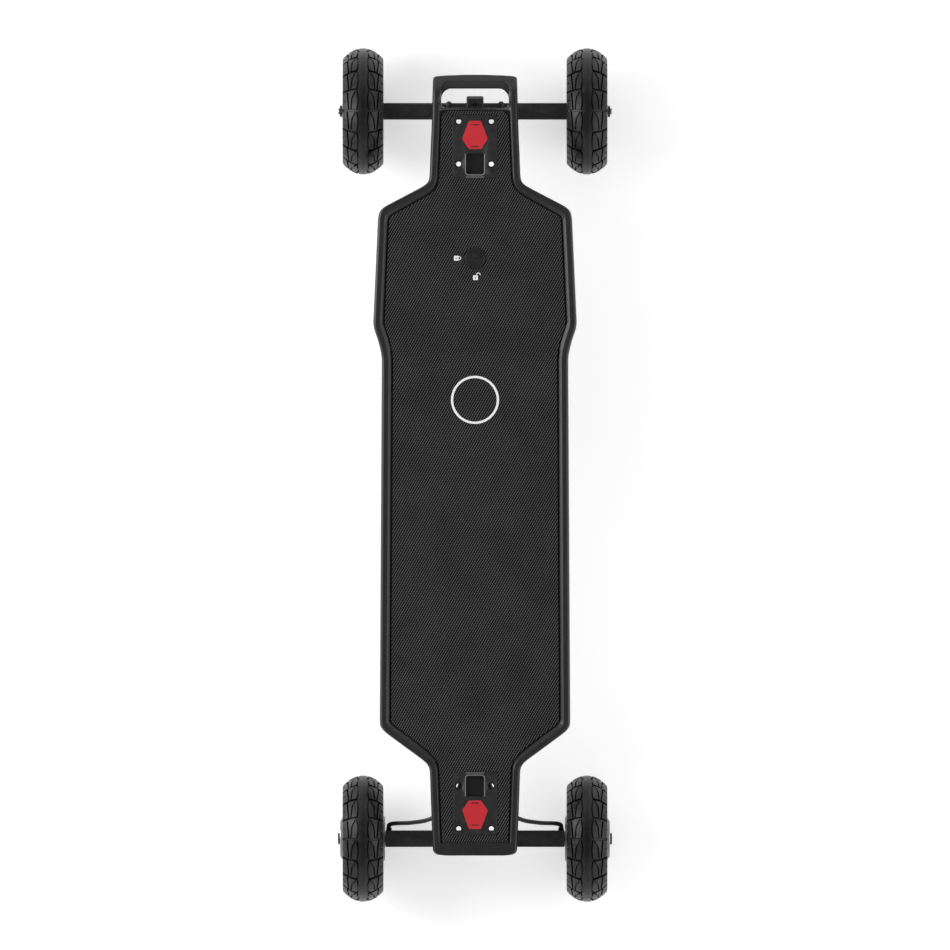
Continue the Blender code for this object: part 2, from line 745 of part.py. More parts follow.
def build_battery_case(rim):
    """An open box up to the height of its rim, with two lugs at its rear."""
    flat_ends = (BATTERY_FLAT_REAR_Y, BATTERY_FLAT_FRONT_Y)
    flat = rounded_outline(BATTERY_FLAT_HALF_WIDTH, *flat_ends, BATTERY_FLAT_CORNER, 3)
    outside = battery_outline(0)
    levels = ((flat, BATTERY_BOTTOM_Z), (outside, BATTERY_SHOULDER_Z), (outside, rim))
    case = stacked("battery_case", levels, BLACK_PLASTIC)
    inset = BATTERY_WALL
    hollow_ends = (BATTERY_FLAT_REAR_Y + inset, BATTERY_FLAT_FRONT_Y - inset)
    hollow_corner = BATTERY_FLAT_CORNER - 3 * inset
    hollow = rounded_outline(BATTERY_FLAT_HALF_WIDTH - inset, *hollow_ends, hollow_corner, 3)
    inside = battery_outline(inset)
    levels = (
        (hollow, BATTERY_BOTTOM_Z + inset),
        (inside, BATTERY_SHOULDER_Z + inset / 3),
        (inside, THROUGH_TOP_Z),
    )
    subtract(case, stacked("case_cutter", levels, None))
    unite(case, battery_lug("left_lug_former", -1), battery_lug("right_lug_former", 1))
    return case


def battery_lug(name, side):
    """A lug behind the case whose round end lies on the hinge line."""
    rear = []
    for step in range(7):
        angle = math.pi * step / 6
        y = BATTERY_HINGE_Y - BATTERY_LUG_RADIUS * math.sin(angle)
        rear.append((y, BATTERY_HINGE_Z + BATTERY_LUG_RADIUS * math.cos(angle)))
    root = BATTERY_REAR_Y + BATTERY_WALL / 2
    front = [(root, BATTERY_HINGE_Z), (root, BATTERY_HINGE_Z + BATTERY_LUG_RADIUS)]
    lug = side_plate(name, rear + front, BATTERY_LUG_HALF_WIDTH, None)
    lug.location.x = side * BATTERY_LUG_X
    return lug


def build_lock():
    """The knob, and the shaft under it with a flat foot that lies along Y when it is unlocked."""
    seat = read_table(TOP_HEIGHT, LOCK_Y) - RECESS_DEPTH + 2 * GAP
    face = seat + MAT_THICKNESS + LOCK_KNOB_RISE
    profile = (
        (0, seat),
        (LOCK_KNOB_RADIUS, seat),
        (LOCK_KNOB_RADIUS, face - LOCK_CHAMFER),
        (LOCK_KNOB_RADIUS - LOCK_CHAMFER, face),
        (0, face),
    )
    knob = along_z(turned("lock_knob", profile, BLACK_METAL, FINE_ROUND), (0, LOCK_Y, 0))
    key = cylinder(
        "lock_key",
        LOCK_SHAFT_RADIUS,
        (LOCK_KEY_BOTTOM_Z + LOCK_KEY_TOP_Z) / 2,
        seat - GAP,
        BRIGHT_METAL,
        SMALL_ROUND,
    )
    along_z(key, (0, LOCK_Y, 0))
    ends = (LOCK_Y - LOCK_KEY_LENGTH / 2, LOCK_Y + LOCK_KEY_LENGTH / 2)
    foot = rounded_outline(LOCK_KEY_WIDTH / 2, *ends, LOCK_KEY_WIDTH / 5, 2)
    unite(key, slab("key_foot_former", foot, LOCK_KEY_BOTTOM_Z, LOCK_KEY_TOP_Z, None))
    hold([knob, key], joint_empty("lock_axis", (0, LOCK_Y, seat)))


# ---------------------------------------------------------------- controller


def build_controller():
    under = UNDERSIDE_HEIGHT[2][1] - GAP
    flat_ends = (CONTROLLER_REAR_Y + CONTROLLER_SLOPE_Y, CONTROLLER_FRONT_Y - CONTROLLER_SLOPE_Y)
    flat = rounded_outline(CONTROLLER_FLAT_HALF_WIDTH, *flat_ends, CONTROLLER_FLAT_CORNER, 3)
    ends = (CONTROLLER_REAR_Y, CONTROLLER_FRONT_Y)
    foot = rounded_outline(CONTROLLER_HALF_WIDTH, *ends, CONTROLLER_CORNER, 3)
    cover = stacked("controller_cover", ((flat, CONTROLLER_BOTTOM_Z), (foot, under)), DARK_PLASTIC)
    floor = CONTROLLER_BOTTOM_Z + CONTROLLER_WALL
    low = (-CONTROLLER_HOLLOW_HALF_WIDTH, CONTROLLER_HOLLOW_REAR_Y, floor)
    high = (CONTROLLER_HOLLOW_HALF_WIDTH, CONTROLLER_HOLLOW_FRONT_Y, THROUGH_TOP_Z)
    hollow = block("cover_cutter", low, high, None)
    reach = BUTTON_RADIUS + GAP
    button_hole = cylinder("button_cutter", reach, THROUGH_BOTTOM_Z, THROUGH_TOP_Z, None, ROUND)
    subtract(cover, hollow, along_z(button_hole, (BUTTON_X, BUTTON_Y, 0)))
    board = block("controller_board", BOARD_LOW, BOARD_HIGH, GREEN_BOARD)
    unite(board, block("heat_sink_former", HEAT_SINK_LOW, HEAT_SINK_HIGH, None))
    build_button()


def build_button():
    profile = (
        (0, BUTTON_FACE_Z),
        (BUTTON_FACE_RADIUS, BUTTON_FACE_Z),
        (BUTTON_RADIUS, BUTTON_FACE_Z + BUTTON_CHAMFER),
        (BUTTON_RADIUS, BUTTON_TOP_Z),
        (0, BUTTON_TOP_Z),
    )
    button = along_z(turned("power_button", profile, BLACK_PLASTIC), (BUTTON_X, BUTTON_Y, 0))
    hold([button], joint_empty("button_axis", (BUTTON_X, BUTTON_Y, BUTTON_FACE_Z)))


# ---------------------------------------------------------------- trucks


def kingpin_frame(foot, end):
    """The matrix of a kingpin: local Z runs up along it from the underside of its nut."""
    tilt = Matrix.Rotation(end * KINGPIN_TILT, 4, "X")
    return Matrix.Translation((0, end * foot[0], foot[1])) @ tilt


def ring_centre(foot, end):
    return kingpin_frame(foot, end) @ Vector((0, 0, RING_CENTRE))


def steer_frame(foot, end):
    """Local Z runs from the ring along the steering axis, which rises towards the board's near end."""
    tilt = Matrix.Rotation(-end * (math.pi / 2 - STEER_TILT), 4, "X")
    return Matrix.Translation(ring_centre(foot, end)) @ tilt


def placed_cylinder(name, matrix, radius, bottom, top, finish=None, segments=CUTTER_ROUND):
    obj = cylinder(name, radius, bottom, top, finish, segments)
    obj.matrix_world = matrix
    return obj


def build_kingpin(name, foot, end, top):
    """The bolt with its nut and its cupped washer."""
    profile = (
        (0, 0),
        (NUT_RADIUS, 0),
        (NUT_RADIUS, NUT_TOP),
        (WASHER_RADIUS, NUT_TOP),
        (WASHER_RADIUS, WASHER_TOP),
        (KINGPIN_RADIUS, WASHER_TOP),
        (KINGPIN_RADIUS, top),
        (0, top),
    )
    pin = turned(name, profile, BLACK_METAL, ROUND)
    pin.matrix_world = kingpin_frame(foot, end)
    return pin


def build_bushing(name, foot, end, bottom, top):
    bore = KINGPIN_RADIUS + GAP
    waist = BUSHING_RADIUS - BUSHING_BULGE
    middle = (bottom + top) / 2
    profile = (
        (bore, bottom),
        (waist, bottom),
        (BUSHING_RADIUS, middle),
        (waist, top),
        (bore, top),
    )
    bushing = turned(name, profile, GREY_RUBBER, ROUND)
    bushing.matrix_world = kingpin_frame(foot, end)
    return bushing


def build_bushings(stem, foot, end):
    lower = build_bushing(stem + "_lower_bushing", foot, end, WASHER_TOP + GAP, LOWER_BUSHING_TOP)
    upper = build_bushing(stem + "_upper_bushing", foot, end, RING_TOP + GAP, UPPER_BUSHING_TOP)
    return [lower, upper]


def mirror_outline(outline, end):
    return [(end * y, z) for y, z in outline]


def ring_cutter(name, foot, end, mouth_radius):
    """The kingpin's bore through a ring, the pocket for the bushing under it and the nut's room."""
    skirt = RING_BOTTOM - RING_SKIRT + GAP
    profile = (
        (0, NUT_ROOM_BOTTOM),
        (mouth_radius, NUT_ROOM_BOTTOM),
        (mouth_radius, skirt),
        (POCKET_RADIUS, skirt),
        (POCKET_RADIUS, RING_BOTTOM),
        (RING_BORE_RADIUS, RING_BOTTOM),
        (RING_BORE_RADIUS, KINGPIN_CUT_TOP),
        (0, KINGPIN_CUT_TOP),
    )
    cutter = turned(name, profile, None, CUTTER_ROUND)
    cutter.matrix_world = kingpin_frame(foot, end)
    return cutter


def build_baseplate(name, end):
    frame = kingpin_frame(INNER_KINGPIN_FOOT, end)
    ends = plate_span(end, BASEPLATE_INNER_Y, BASEPLATE_OUTER_Y)
    outline = rounded_outline(BASEPLATE_HALF_WIDTH, *ends, BASEPLATE_CORNER, 2)
    top = UNDERSIDE_HEIGHT[0][1] - GAP
    plate = slab(name + "_baseplate", outline, BASEPLATE_BOTTOM_Z, top, BLACK_METAL)
    seat = placed_cylinder(
        name + "_seat_former", frame, BASEPLATE_SEAT_RADIUS, SEAT_BOTTOM, BASEPLATE_SEAT_TOP
    )
    boss_outline = ((0.4190, 0.1275), (0.4345, 0.1275), (0.4345, 0.1400), (0.4190, 0.1400))
    boss_outline = mirror_outline(boss_outline, end)
    boss = side_plate(name + "_pivot_boss_former", boss_outline, BOSS_HALF_WIDTH, None)
    unite(plate, seat, boss)
    kingpin_bore = placed_cylinder(
        name + "_inner_kingpin_cutter",
        frame,
        KINGPIN_RADIUS + GAP,
        KINGPIN_CUT_BOTTOM,
        ARM_SEAT_TOP,
    )
    pin_bore = placed_cylinder(
        name + "_arm_pin_cutter",
        steer_frame(INNER_KINGPIN_FOOT, end),
        PIN_BORE_RADIUS,
        PIN_CUT_START,
        ARM_PIN_CUT_END,
    )
    subtract(plate, kingpin_bore, pin_bore, bolt_holes(name + "_base_bolt_cutter", end))


def arm_formers(name, end):
    """The link, the pivot block, the outer kingpin's seat and the pivot pin, which join the ring."""
    link_outline = (
        (0.4060, 0.1130),
        (0.4220, 0.1125),
        (0.4465, 0.1192),
        (0.4640, 0.1192),
        (0.4640, 0.1255),
        (0.4450, 0.1257),
        (0.4240, 0.1236),
        (0.4060, 0.1226),
    )
    block_outline = (
        (0.4590, 0.1085),
        (0.4720, 0.1085),
        (0.4795, 0.1140),
        (0.4795, 0.1215),
        (0.4760, 0.1262),
        (0.4590, 0.1262),
    )
    link_outline = mirror_outline(link_outline, end)
    block_outline = mirror_outline(block_outline, end)
    link_bar = side_plate(name + "_link_former", link_outline, LINK_HALF_WIDTH, None)
    pivot_block = side_plate(name + "_block_former", block_outline, PIVOT_HALF_WIDTH, None)
    outer = kingpin_frame(OUTER_KINGPIN_FOOT, end)
    seat = placed_cylinder(
        name + "_outer_seat_former", outer, ARM_SEAT_RADIUS, SEAT_BOTTOM, ARM_SEAT_TOP
    )
    pin = placed_cylinder(
        name + "_arm_pin_former",
        steer_frame(INNER_KINGPIN_FOOT, end),
        PIN_RADIUS,
        PIN_ROOT,
        ARM_PIN_TIP,
        None,
        SMALL_ROUND,
    )
    return link_bar, pivot_block, seat, pin


def build_arm(name, end):
    """The link between the baseplate and the hanger, which turns on the inner steering axis."""
    arm = placed_cylinder(
        name + "_arm",
        kingpin_frame(INNER_KINGPIN_FOOT, end),
        RING_RADIUS,
        RING_BOTTOM - RING_SKIRT,
        RING_TOP,
        BLACK_METAL,
    )
    unite(arm, *arm_formers(name, end))
    outer_bore = placed_cylinder(
        name + "_outer_kingpin_cutter",
        kingpin_frame(OUTER_KINGPIN_FOOT, end),
        KINGPIN_RADIUS + GAP,
        KINGPIN_CUT_BOTTOM,
        OUTER_BORE_TOP,
    )
    cup_bore = placed_cylinder(
        name + "_cup_cutter",
        steer_frame(OUTER_KINGPIN_FOOT, end),
        CUP_RADIUS + GAP,
        PIN_ROOT,
        OUTER_BORE_TOP,
    )
    mouth = POCKET_RADIUS + GAP
    ring_bore = ring_cutter(name + "_arm_ring_cutter", INNER_KINGPIN_FOOT, end, mouth)
    subtract(arm, ring_bore, outer_bore, cup_bore)
    return arm


def build_pivot_cup(name, end):
    inner = PIN_RADIUS + GAP
    profile = ((inner, CUP_START), (CUP_RADIUS, CUP_START), (CUP_RADIUS, CUP_END), (inner, CUP_END))
    cup = turned(name + "_pivot_cup", profile, GREY_RUBBER, SMALL_ROUND)
    cup.matrix_world = steer_frame(OUTER_KINGPIN_FOOT, end)
    return cup


def bar_outline(end):
    """The section of a hanger's bar in Y and Z, with its corners cut."""
    half_y = HANGER_BAR_WIDTH / 2
    half_z = HANGER_BAR_HEIGHT / 2
    soft = HANGER_BAR_CHAMFER
    rear = [(-half_y, half_z - soft), (-half_y, soft - half_z)]
    front = [(half_y, soft - half_z), (half_y, half_z - soft)]
    under = [(soft - half_y, -half_z), (half_y - soft, -half_z)]
    over = [(half_y - soft, half_z), (soft - half_y, half_z)]
    return [(end * AXLE_Y + y, AXLE_Z + z) for y, z in rear + under + front + over]


def axle_frame(end):
    """Local Z runs along an axle towards the board's right."""
    return Matrix.Translation((0, end * AXLE_Y, AXLE_Z)) @ Matrix.Rotation(math.pi / 2, 4, "Y")


def build_hanger(name, end, half_length):
    """The axle's carrier: a long bar, a ring round the outer kingpin and a pivot pin."""
    hanger = side_plate(name + "_hanger", bar_outline(end), half_length, DARK_PLASTIC)
    ring = placed_cylinder(
        name + "_ring_former",
        kingpin_frame(OUTER_KINGPIN_FOOT, end),
        RING_RADIUS + GAP,
        RING_BOTTOM - RING_SKIRT,
        RING_TOP,
    )
    web_outline = (
        (0.4430, 0.0930),
        (0.4470, 0.0830),
        (0.4700, 0.0830),
        (0.4640, 0.0980),
        (0.4560, 0.1060),
        (0.4520, 0.1060),
    )
    web_outline = mirror_outline(web_outline, end)
    web = side_plate(name + "_web_former", web_outline, WEB_HALF_WIDTH, None)
    pin = placed_cylinder(
        name + "_hanger_pin_former",
        steer_frame(OUTER_KINGPIN_FOOT, end),
        PIN_RADIUS,
        PIN_ROOT,
        HANGER_PIN_TIP,
        None,
        SMALL_ROUND,
    )
    unite(hanger, ring, web, pin)
    mouth = RING_RADIUS - 2 * GAP
    ring_bore = ring_cutter(name + "_hanger_ring_cutter", OUTER_KINGPIN_FOOT, end, mouth)
    axle_bore = placed_cylinder(
        name + "_axle_cutter",
        axle_frame(end),
        AXLE_RADIUS + GAP,
        -AXLE_BORE_HALF_LENGTH,
        AXLE_BORE_HALF_LENGTH,
    )
    subtract(hanger, ring_bore, axle_bore)
    return hanger


def build_truck(name, end, bar_half_length):
    """A truck's parts. The result is the joint that its axle turns with."""
    inner, outer = INNER_KINGPIN_FOOT, OUTER_KINGPIN_FOOT
    build_baseplate(name, end)
    build_kingpin(name + "_inner_kingpin", inner, end, INNER_KINGPIN_TOP)
    build_bushings(name + "_inner", inner, end)
    swinging = [build_arm(name, end), build_pivot_cup(name, end)]
    swinging.append(build_kingpin(name + "_outer_kingpin", outer, end, OUTER_KINGPIN_TOP))
    swinging += build_bushings(name + "_outer", outer, end)
    arm_axis = joint_empty(name + "_arm_axis", ring_centre(inner, end))
    hanger_axis = joint_empty(name + "_hanger_axis", ring_centre(outer, end))
    hold(swinging + [hanger_axis], arm_axis)
    axle = placed_cylinder(
        name + "_axle",
        axle_frame(end),
        AXLE_RADIUS,
        -AXLE_HALF_LENGTH,
        AXLE_HALF_LENGTH,
        BRIGHT_METAL,
        ROUND,
    )
    hold([build_hanger(name, end, bar_half_length), axle], hanger_axis)
    return hanger_axis


# ---------------------------------------------------------------- wheels


def tyre_profile(bead_radius):
    """A tyre's section, mirrored about its middle. A facet, not a corner, meets the ground."""
    crown = TYRE_FACET_RADIUS / math.cos(math.pi / WHEEL_FACETS)
    middle = (TYRE_OUTER_X + TYRE_INNER_X) / 2
    half = (TYRE_OUTER_X - TYRE_INNER_X) / 2
    side = (
        (bead_radius, half - 0.0060),
        (bead_radius + 0.0030, half - 0.0010),
        (0.0660, half),
        (0.0705, half - 0.0030),
        (0.0760, half - 0.0100),
        (crown, half - 0.0195),
    )
    return [(r, middle + h) for r, h in side] + [(r, middle - h) for r, h in reversed(side)]


def build_tyre(name, bead_radius, centre, side):
    phase = math.pi / WHEEL_FACETS
    tyre = turned(name + "_tyre", tyre_profile(bead_radius), TYRE_RUBBER, WHEEL_FACETS, phase)
    return along_x(tyre, centre, side)


def spoke_windows(name):
    """Seven windows between spokes of even width, as upright prisms about Z."""
    bm = bmesh.new()
    pitch = math.tau / RIM_SPOKES
    half = SPOKE_WIDTH / 2
    for spoke in range(RIM_SPOKES):
        middle = (spoke + 0.5) * pitch
        corners = []
        for radius, steps in WINDOW_CORNERS:
            reach = pitch / 2 - math.asin(half / radius)
            corners += [(radius, middle + step * reach) for step in steps]
        ring = [bm.verts.new((r * math.cos(a), r * math.sin(a), RIM_INNER_X - GAP)) for r, a in corners]
        grown = bmesh.ops.extrude_face_region(bm, geom=[bm.faces.new(ring)], use_keep_orig=True)
        moved = [item for item in grown["geom"] if isinstance(item, bmesh.types.BMVert)]
        bmesh.ops.translate(bm, verts=moved, vec=(0, 0, RIM_OUTER_X - RIM_INNER_X + 2 * GAP))
    return link(name, bm, None)


def build_front_wheel(name, side, hanger_axis):
    centre = (0, AXLE_Y, AXLE_Z)
    middle = (RIM_INNER_X + RIM_OUTER_X) / 2
    bore = BEARING_RADIUS + GAP
    inside = WINDOW_OUTER_RADIUS - 2 * GAP
    half_rim = (RIM_OUTER_X - RIM_INNER_X) / 2
    outer_half = (
        (RIM_RADIUS, half_rim),
        (inside, half_rim),
        (inside, RIM_WEB_HALF),
        (HUB_RADIUS + 0.001, RIM_WEB_HALF),
        (HUB_RADIUS, HUB_HALF),
        (bore, HUB_HALF),
    )
    profile = [(r, middle - h) for r, h in reversed(outer_half)]
    profile += [(r, middle + h) for r, h in outer_half]
    rim = along_x(turned(name + "_rim", profile, BLACK_PLASTIC, WHEEL_ROUND), centre, side)
    subtract(rim, along_x(spoke_windows(name + "_window_cutter"), centre, side))
    inner = AXLE_RADIUS + 2 * GAP
    low, high = middle - BEARING_HALF, middle + BEARING_HALF
    profile = ((inner, low), (BEARING_RADIUS, low), (BEARING_RADIUS, high), (inner, high))
    bearing = along_x(turned(name + "_bearing", profile, BRIGHT_METAL), centre, side)
    wheel_axis = joint_empty(name + "_axis", (side * middle, AXLE_Y, AXLE_Z))
    hold([wheel_axis], hanger_axis)
    hold([rim, bearing, build_tyre(name, RIM_RADIUS + GAP, centre, side)], wheel_axis)


def build_motor_shell(name, centre, side):
    inside = MOTOR_RADIUS - 2 * MOTOR_WALL
    profile = (
        (MOTOR_BORE_RADIUS, MOTOR_INNER_X),
        (MOTOR_BOSS_RADIUS - 0.004, MOTOR_INNER_X),
        (MOTOR_BOSS_RADIUS, MOTOR_BACK_X),
        (MOTOR_RADIUS - 0.003, MOTOR_BACK_X),
        (MOTOR_RADIUS, MOTOR_BACK_X + 0.003),
        (MOTOR_RADIUS, MOTOR_SEAM_X),
        (inside, MOTOR_SEAM_X),
        (inside, MOTOR_INNER_X + MOTOR_WALL),
        (MOTOR_BORE_RADIUS, MOTOR_INNER_X + MOTOR_WALL),
    )
    return along_x(turned(name + "_motor_shell", profile, GREY_METAL, WHEEL_ROUND), centre, side)


def build_motor_cover(name, centre, side):
    bore = AXLE_RADIUS + 2 * GAP
    profile = (
        (bore, MOTOR_SEAM_X + GAP),
        (MOTOR_RADIUS, MOTOR_SEAM_X + GAP),
        (MOTOR_RADIUS, MOTOR_FACE_X - 0.0015),
        (MOTOR_RADIUS - 0.0015, MOTOR_FACE_X),
        (MOTOR_BOSS_RADIUS, MOTOR_FACE_X),
        (MOTOR_CAP_RADIUS + 0.0030, MOTOR_FACE_X + 0.0010),
        (MOTOR_CAP_RADIUS, MOTOR_OUTER_X - 0.0005),
        (MOTOR_CAP_RADIUS - 0.0008, MOTOR_OUTER_X),
        (bore, MOTOR_OUTER_X),
    )
    return along_x(turned(name + "_motor_cover", profile, GREY_METAL, WHEEL_ROUND), centre, side)


def build_rear_wheel(name, side, hanger_axis):
    """A hub motor: its shell and cover turn with the tyre, round a stator that the axle holds still."""
    centre = (0, -AXLE_Y, AXLE_Z)
    shell = build_motor_shell(name, centre, side)
    cover = build_motor_cover(name, centre, side)
    outside = MOTOR_RADIUS - 2 * MOTOR_WALL - 0.001
    bore = AXLE_RADIUS + GAP
    low, high = MOTOR_INNER_X + 0.0080, MOTOR_SEAM_X - 0.0030
    profile = ((bore, low), (outside, low), (outside, high), (bore, high))
    stator = along_x(turned(name + "_stator", profile, COPPER), centre, side)
    wheel_axis = joint_empty(name + "_axis", (side * (MOTOR_INNER_X + MOTOR_OUTER_X) / 2, *centre[1:]))
    hold([stator, wheel_axis], hanger_axis)
    hold([shell, cover, build_tyre(name, MOTOR_RADIUS + GAP, centre, side)], wheel_axis)


def build_axle_nut(name, end, side, hanger_axis, inner_x):
    bore = AXLE_RADIUS + GAP
    outer_x = inner_x + AXLE_NUT_LENGTH
    profile = (
        (bore, inner_x),
        (AXLE_NUT_RADIUS, inner_x),
        (AXLE_NUT_RADIUS, outer_x),
        (bore, outer_x),
    )
    nut = turned(name, profile, BLACK_METAL, SMALL_ROUND)
    hold([along_x(nut, (0, end * AXLE_Y, AXLE_Z), side)], hanger_axis)


# ---------------------------------------------------------------- motor cables


def build_connector(name, side):
    """The socket on the controller bay's rear wall, with the cable's plug in it."""
    profile = (
        (0, 0),
        (SOCKET_RADIUS, 0),
        (SOCKET_RADIUS, SOCKET_LENGTH - 0.0010),
        (SOCKET_RADIUS - 0.0007, SOCKET_LENGTH),
        (PLUG_RADIUS, SOCKET_LENGTH),
        (PLUG_RADIUS - 0.0002, PLUG_LENGTH - 0.0040),
        (PLUG_RADIUS - 0.0014, PLUG_LENGTH),
        (0, PLUG_LENGTH),
    )
    socket = turned(name + "_cable_connector", profile, BLACK_PLASTIC, SMALL_ROUND)
    start = Matrix.Translation((side * CABLE_X, CONNECTOR_START_Y, CONNECTOR_Z))
    socket.matrix_world = start @ Matrix.Rotation(math.pi / 2, 4, "X")


def smooth_route(points, steps):
    """Points along a Catmull-Rom curve through the given ones."""
    route = [Vector(point) for point in points]
    padded = [2 * route[0] - route[1]] + route + [2 * route[-1] - route[-2]]
    found = []
    for a, b, c, d in zip(padded, padded[1:], padded[2:], padded[3:]):
        for step in range(steps):
            t = step / steps
            bend = (2 * a - 5 * b + 4 * c - d) * t**2 + (3 * b - a - 3 * c + d) * t**3
            found.append(0.5 * (2 * b + (c - a) * t + bend))
    return found + [route[-1]]


CABLE_ROUTE = (
    (CABLE_X, CONNECTOR_START_Y - PLUG_LENGTH - GAP, CONNECTOR_Z),
    (0.0155, -0.3740, 0.1260),
    (0.0205, -0.3960, 0.1210),
    (0.0340, -0.4190, 0.1130),
    (0.0560, -0.4350, 0.1050),
    (0.0800, -0.4400, 0.1005),
    (0.1010, -0.4410, 0.0965),
    (0.1085, -0.4430, 0.0890),
    (0.1090, -0.4475, 0.0830),
)


def build_cable(name, side):
    """The lead from the plug to the foot of the motor, held at both ends."""
    curve = bpy.data.curves.new(name + "_motor_cable", "CURVE")
    curve.dimensions = "3D"
    curve.bevel_depth = CABLE_RADIUS
    curve.bevel_resolution = 2
    curve.use_fill_caps = True
    route = smooth_route(CABLE_ROUTE, 2)
    spline = curve.splines.new("POLY")
    spline.points.add(len(route) - 1)
    for point, place in zip(spline.points, route):
        point.co = (side * place.x, place.y, place.z, 1)
    cable = bpy.data.objects.new(curve.name, curve)
    bpy.context.scene.collection.objects.link(cable)
    curve.materials.append(own_material(curve.name, *BLACK_PLASTIC))


def main():
    clear_scene()
    build_deck()
    build_tray()
    build_battery()
    build_lock()
    build_controller()
    front_axis = build_truck("front", 1, FRONT_BAR_HALF_LENGTH)
    rear_axis = build_truck("rear", -1, REAR_BAR_HALF_LENGTH)
    for label, side in (("left", -1), ("right", 1)):
        build_front_wheel("front_" + label, side, front_axis)
        build_rear_wheel("rear_" + label, side, rear_axis)
        build_axle_nut("front_" + label + "_axle_nut", 1, side, front_axis, FRONT_NUT_INNER_X)
        build_axle_nut("rear_" + label + "_axle_nut", -1, side, rear_axis, MOTOR_OUTER_X + GAP)
        build_connector(label, side)
        build_cable(label, side)


main()
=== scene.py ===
import math

import bmesh
import bpy
import numpy as np
from mathutils import Matrix, Vector


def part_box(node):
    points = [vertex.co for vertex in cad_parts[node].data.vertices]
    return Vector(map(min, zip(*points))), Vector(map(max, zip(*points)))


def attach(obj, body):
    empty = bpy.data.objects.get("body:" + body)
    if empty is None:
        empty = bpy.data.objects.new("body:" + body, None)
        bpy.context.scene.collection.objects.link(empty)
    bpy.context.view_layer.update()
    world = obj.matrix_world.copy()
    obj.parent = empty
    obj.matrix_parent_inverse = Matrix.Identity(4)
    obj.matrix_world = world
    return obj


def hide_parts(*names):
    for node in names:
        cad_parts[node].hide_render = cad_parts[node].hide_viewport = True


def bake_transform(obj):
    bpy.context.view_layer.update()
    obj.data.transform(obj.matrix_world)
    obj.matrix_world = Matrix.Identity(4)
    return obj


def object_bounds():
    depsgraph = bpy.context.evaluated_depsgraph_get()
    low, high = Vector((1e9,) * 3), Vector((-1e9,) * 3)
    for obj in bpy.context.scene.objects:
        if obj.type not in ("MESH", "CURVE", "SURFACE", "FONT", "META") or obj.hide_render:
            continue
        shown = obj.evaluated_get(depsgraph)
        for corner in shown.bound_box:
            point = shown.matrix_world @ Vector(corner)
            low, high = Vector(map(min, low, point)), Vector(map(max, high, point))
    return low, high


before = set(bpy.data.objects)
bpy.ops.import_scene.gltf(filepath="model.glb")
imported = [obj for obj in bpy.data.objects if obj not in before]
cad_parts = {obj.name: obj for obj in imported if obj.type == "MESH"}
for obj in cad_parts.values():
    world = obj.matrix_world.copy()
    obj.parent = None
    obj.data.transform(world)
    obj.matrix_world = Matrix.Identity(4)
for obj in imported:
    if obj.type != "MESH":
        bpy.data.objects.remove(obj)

# Everything is in metres, in the part's frame: +X is the board's right, +Y its nose and +Z up.
cad_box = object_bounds()

MERGE = 0.000002
GAP = 0.0003

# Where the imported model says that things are
front_tyre_low, front_tyre_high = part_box("front_right_tyre")
AXLE_Y = (front_tyre_low.y + front_tyre_high.y) / 2
AXLE_Z = 0.08
WHEEL_MIDDLE_X = (front_tyre_low.x + front_tyre_high.x) / 2
SIDES = (("left", -1), ("right", 1))
ENDS = (("front", 1), ("rear", -1))

# Deck outline from the tail to the nose: pairs of Y and the value there
HALF_WIDTH = (
    (-0.481, 0.038), (-0.4806, 0.046), (-0.479, 0.05), (-0.4765, 0.0524), (-0.4727, 0.0535),
    (-0.374, 0.0572), (-0.3685, 0.0585), (-0.3625, 0.063), (-0.3245, 0.115), (-0.317, 0.1203),
    (-0.308, 0.1205), (0.15, 0.1179), (0.1668, 0.1217), (0.1883, 0.1289), (0.324, 0.1228),
    (0.3325, 0.1212), (0.3385, 0.116), (0.364, 0.0672), (0.369, 0.06), (0.375, 0.0576),
    (0.445, 0.0547), (0.4985, 0.0533), (0.502, 0.0529), (0.5037, 0.0512), (0.5046, 0.047),
    (0.5055, 0.03), (0.506, 0.014),
)
TOP_HEIGHT = (
    (-0.481, 0.162), (-0.37, 0.162), (-0.318, 0.1538), (0.15, 0.1538), (0.1883, 0.1586),
    (0.33, 0.1557), (0.372, 0.162), (0.487, 0.162), (0.499, 0.1545), (0.506, 0.1492),
)
UNDERSIDE_HEIGHT = (
    (-0.481, 0.1443), (-0.374, 0.1443), (-0.318, 0.1349), (0.318, 0.1349), (0.356, 0.1386),
    (0.3765, 0.1443), (0.506, 0.1443),
)
SIDE_BAND = 0.0096
SIDE_UNDERCUT = 0.008
RIM_BAND = 0.0088
RIM_SLOPE = 0.0054
NECK_SLOPE = 0.0031
EDGE_REACH = 0.0034
EDGE_FALL = 0.0056
RIM_LIP = 0.0011
RECESS_DEPTH = 0.0052
MAT_THICKNESS = 0.0024
MAT_FRONT_Y = 0.4604
MAT_REAR_Y = -0.465
PLATE_HALF_WIDTH = 0.0285
PLATE_INNER_Y = 0.3755
PLATE_OUTER_Y = 0.455
PLATE_BASE_Z = 0.1571
PLATE_TOP_Z = 0.1601
BOLT_X = 0.02065
BOLT_Y = (0.393, 0.447)
PLATE_WINDOW_Y = (0.38, 0.407)
PLATE_SCREWS = [(x, y) for y in (0.438, 0.3836) for x in (0.0207, -0.0207)]
LOCK_Y = 0.274
RING_Y = 0.095
BASEPLATE_Z = 0.1395

# Kingpins and steering axes
KINGPIN_TILT = math.radians(20)
STEER_TILT = math.radians(30)
OUTER_FOOT = (0.444, 0.081)
INNER_FOOT = (0.41, 0.1)


# ---------------- materials


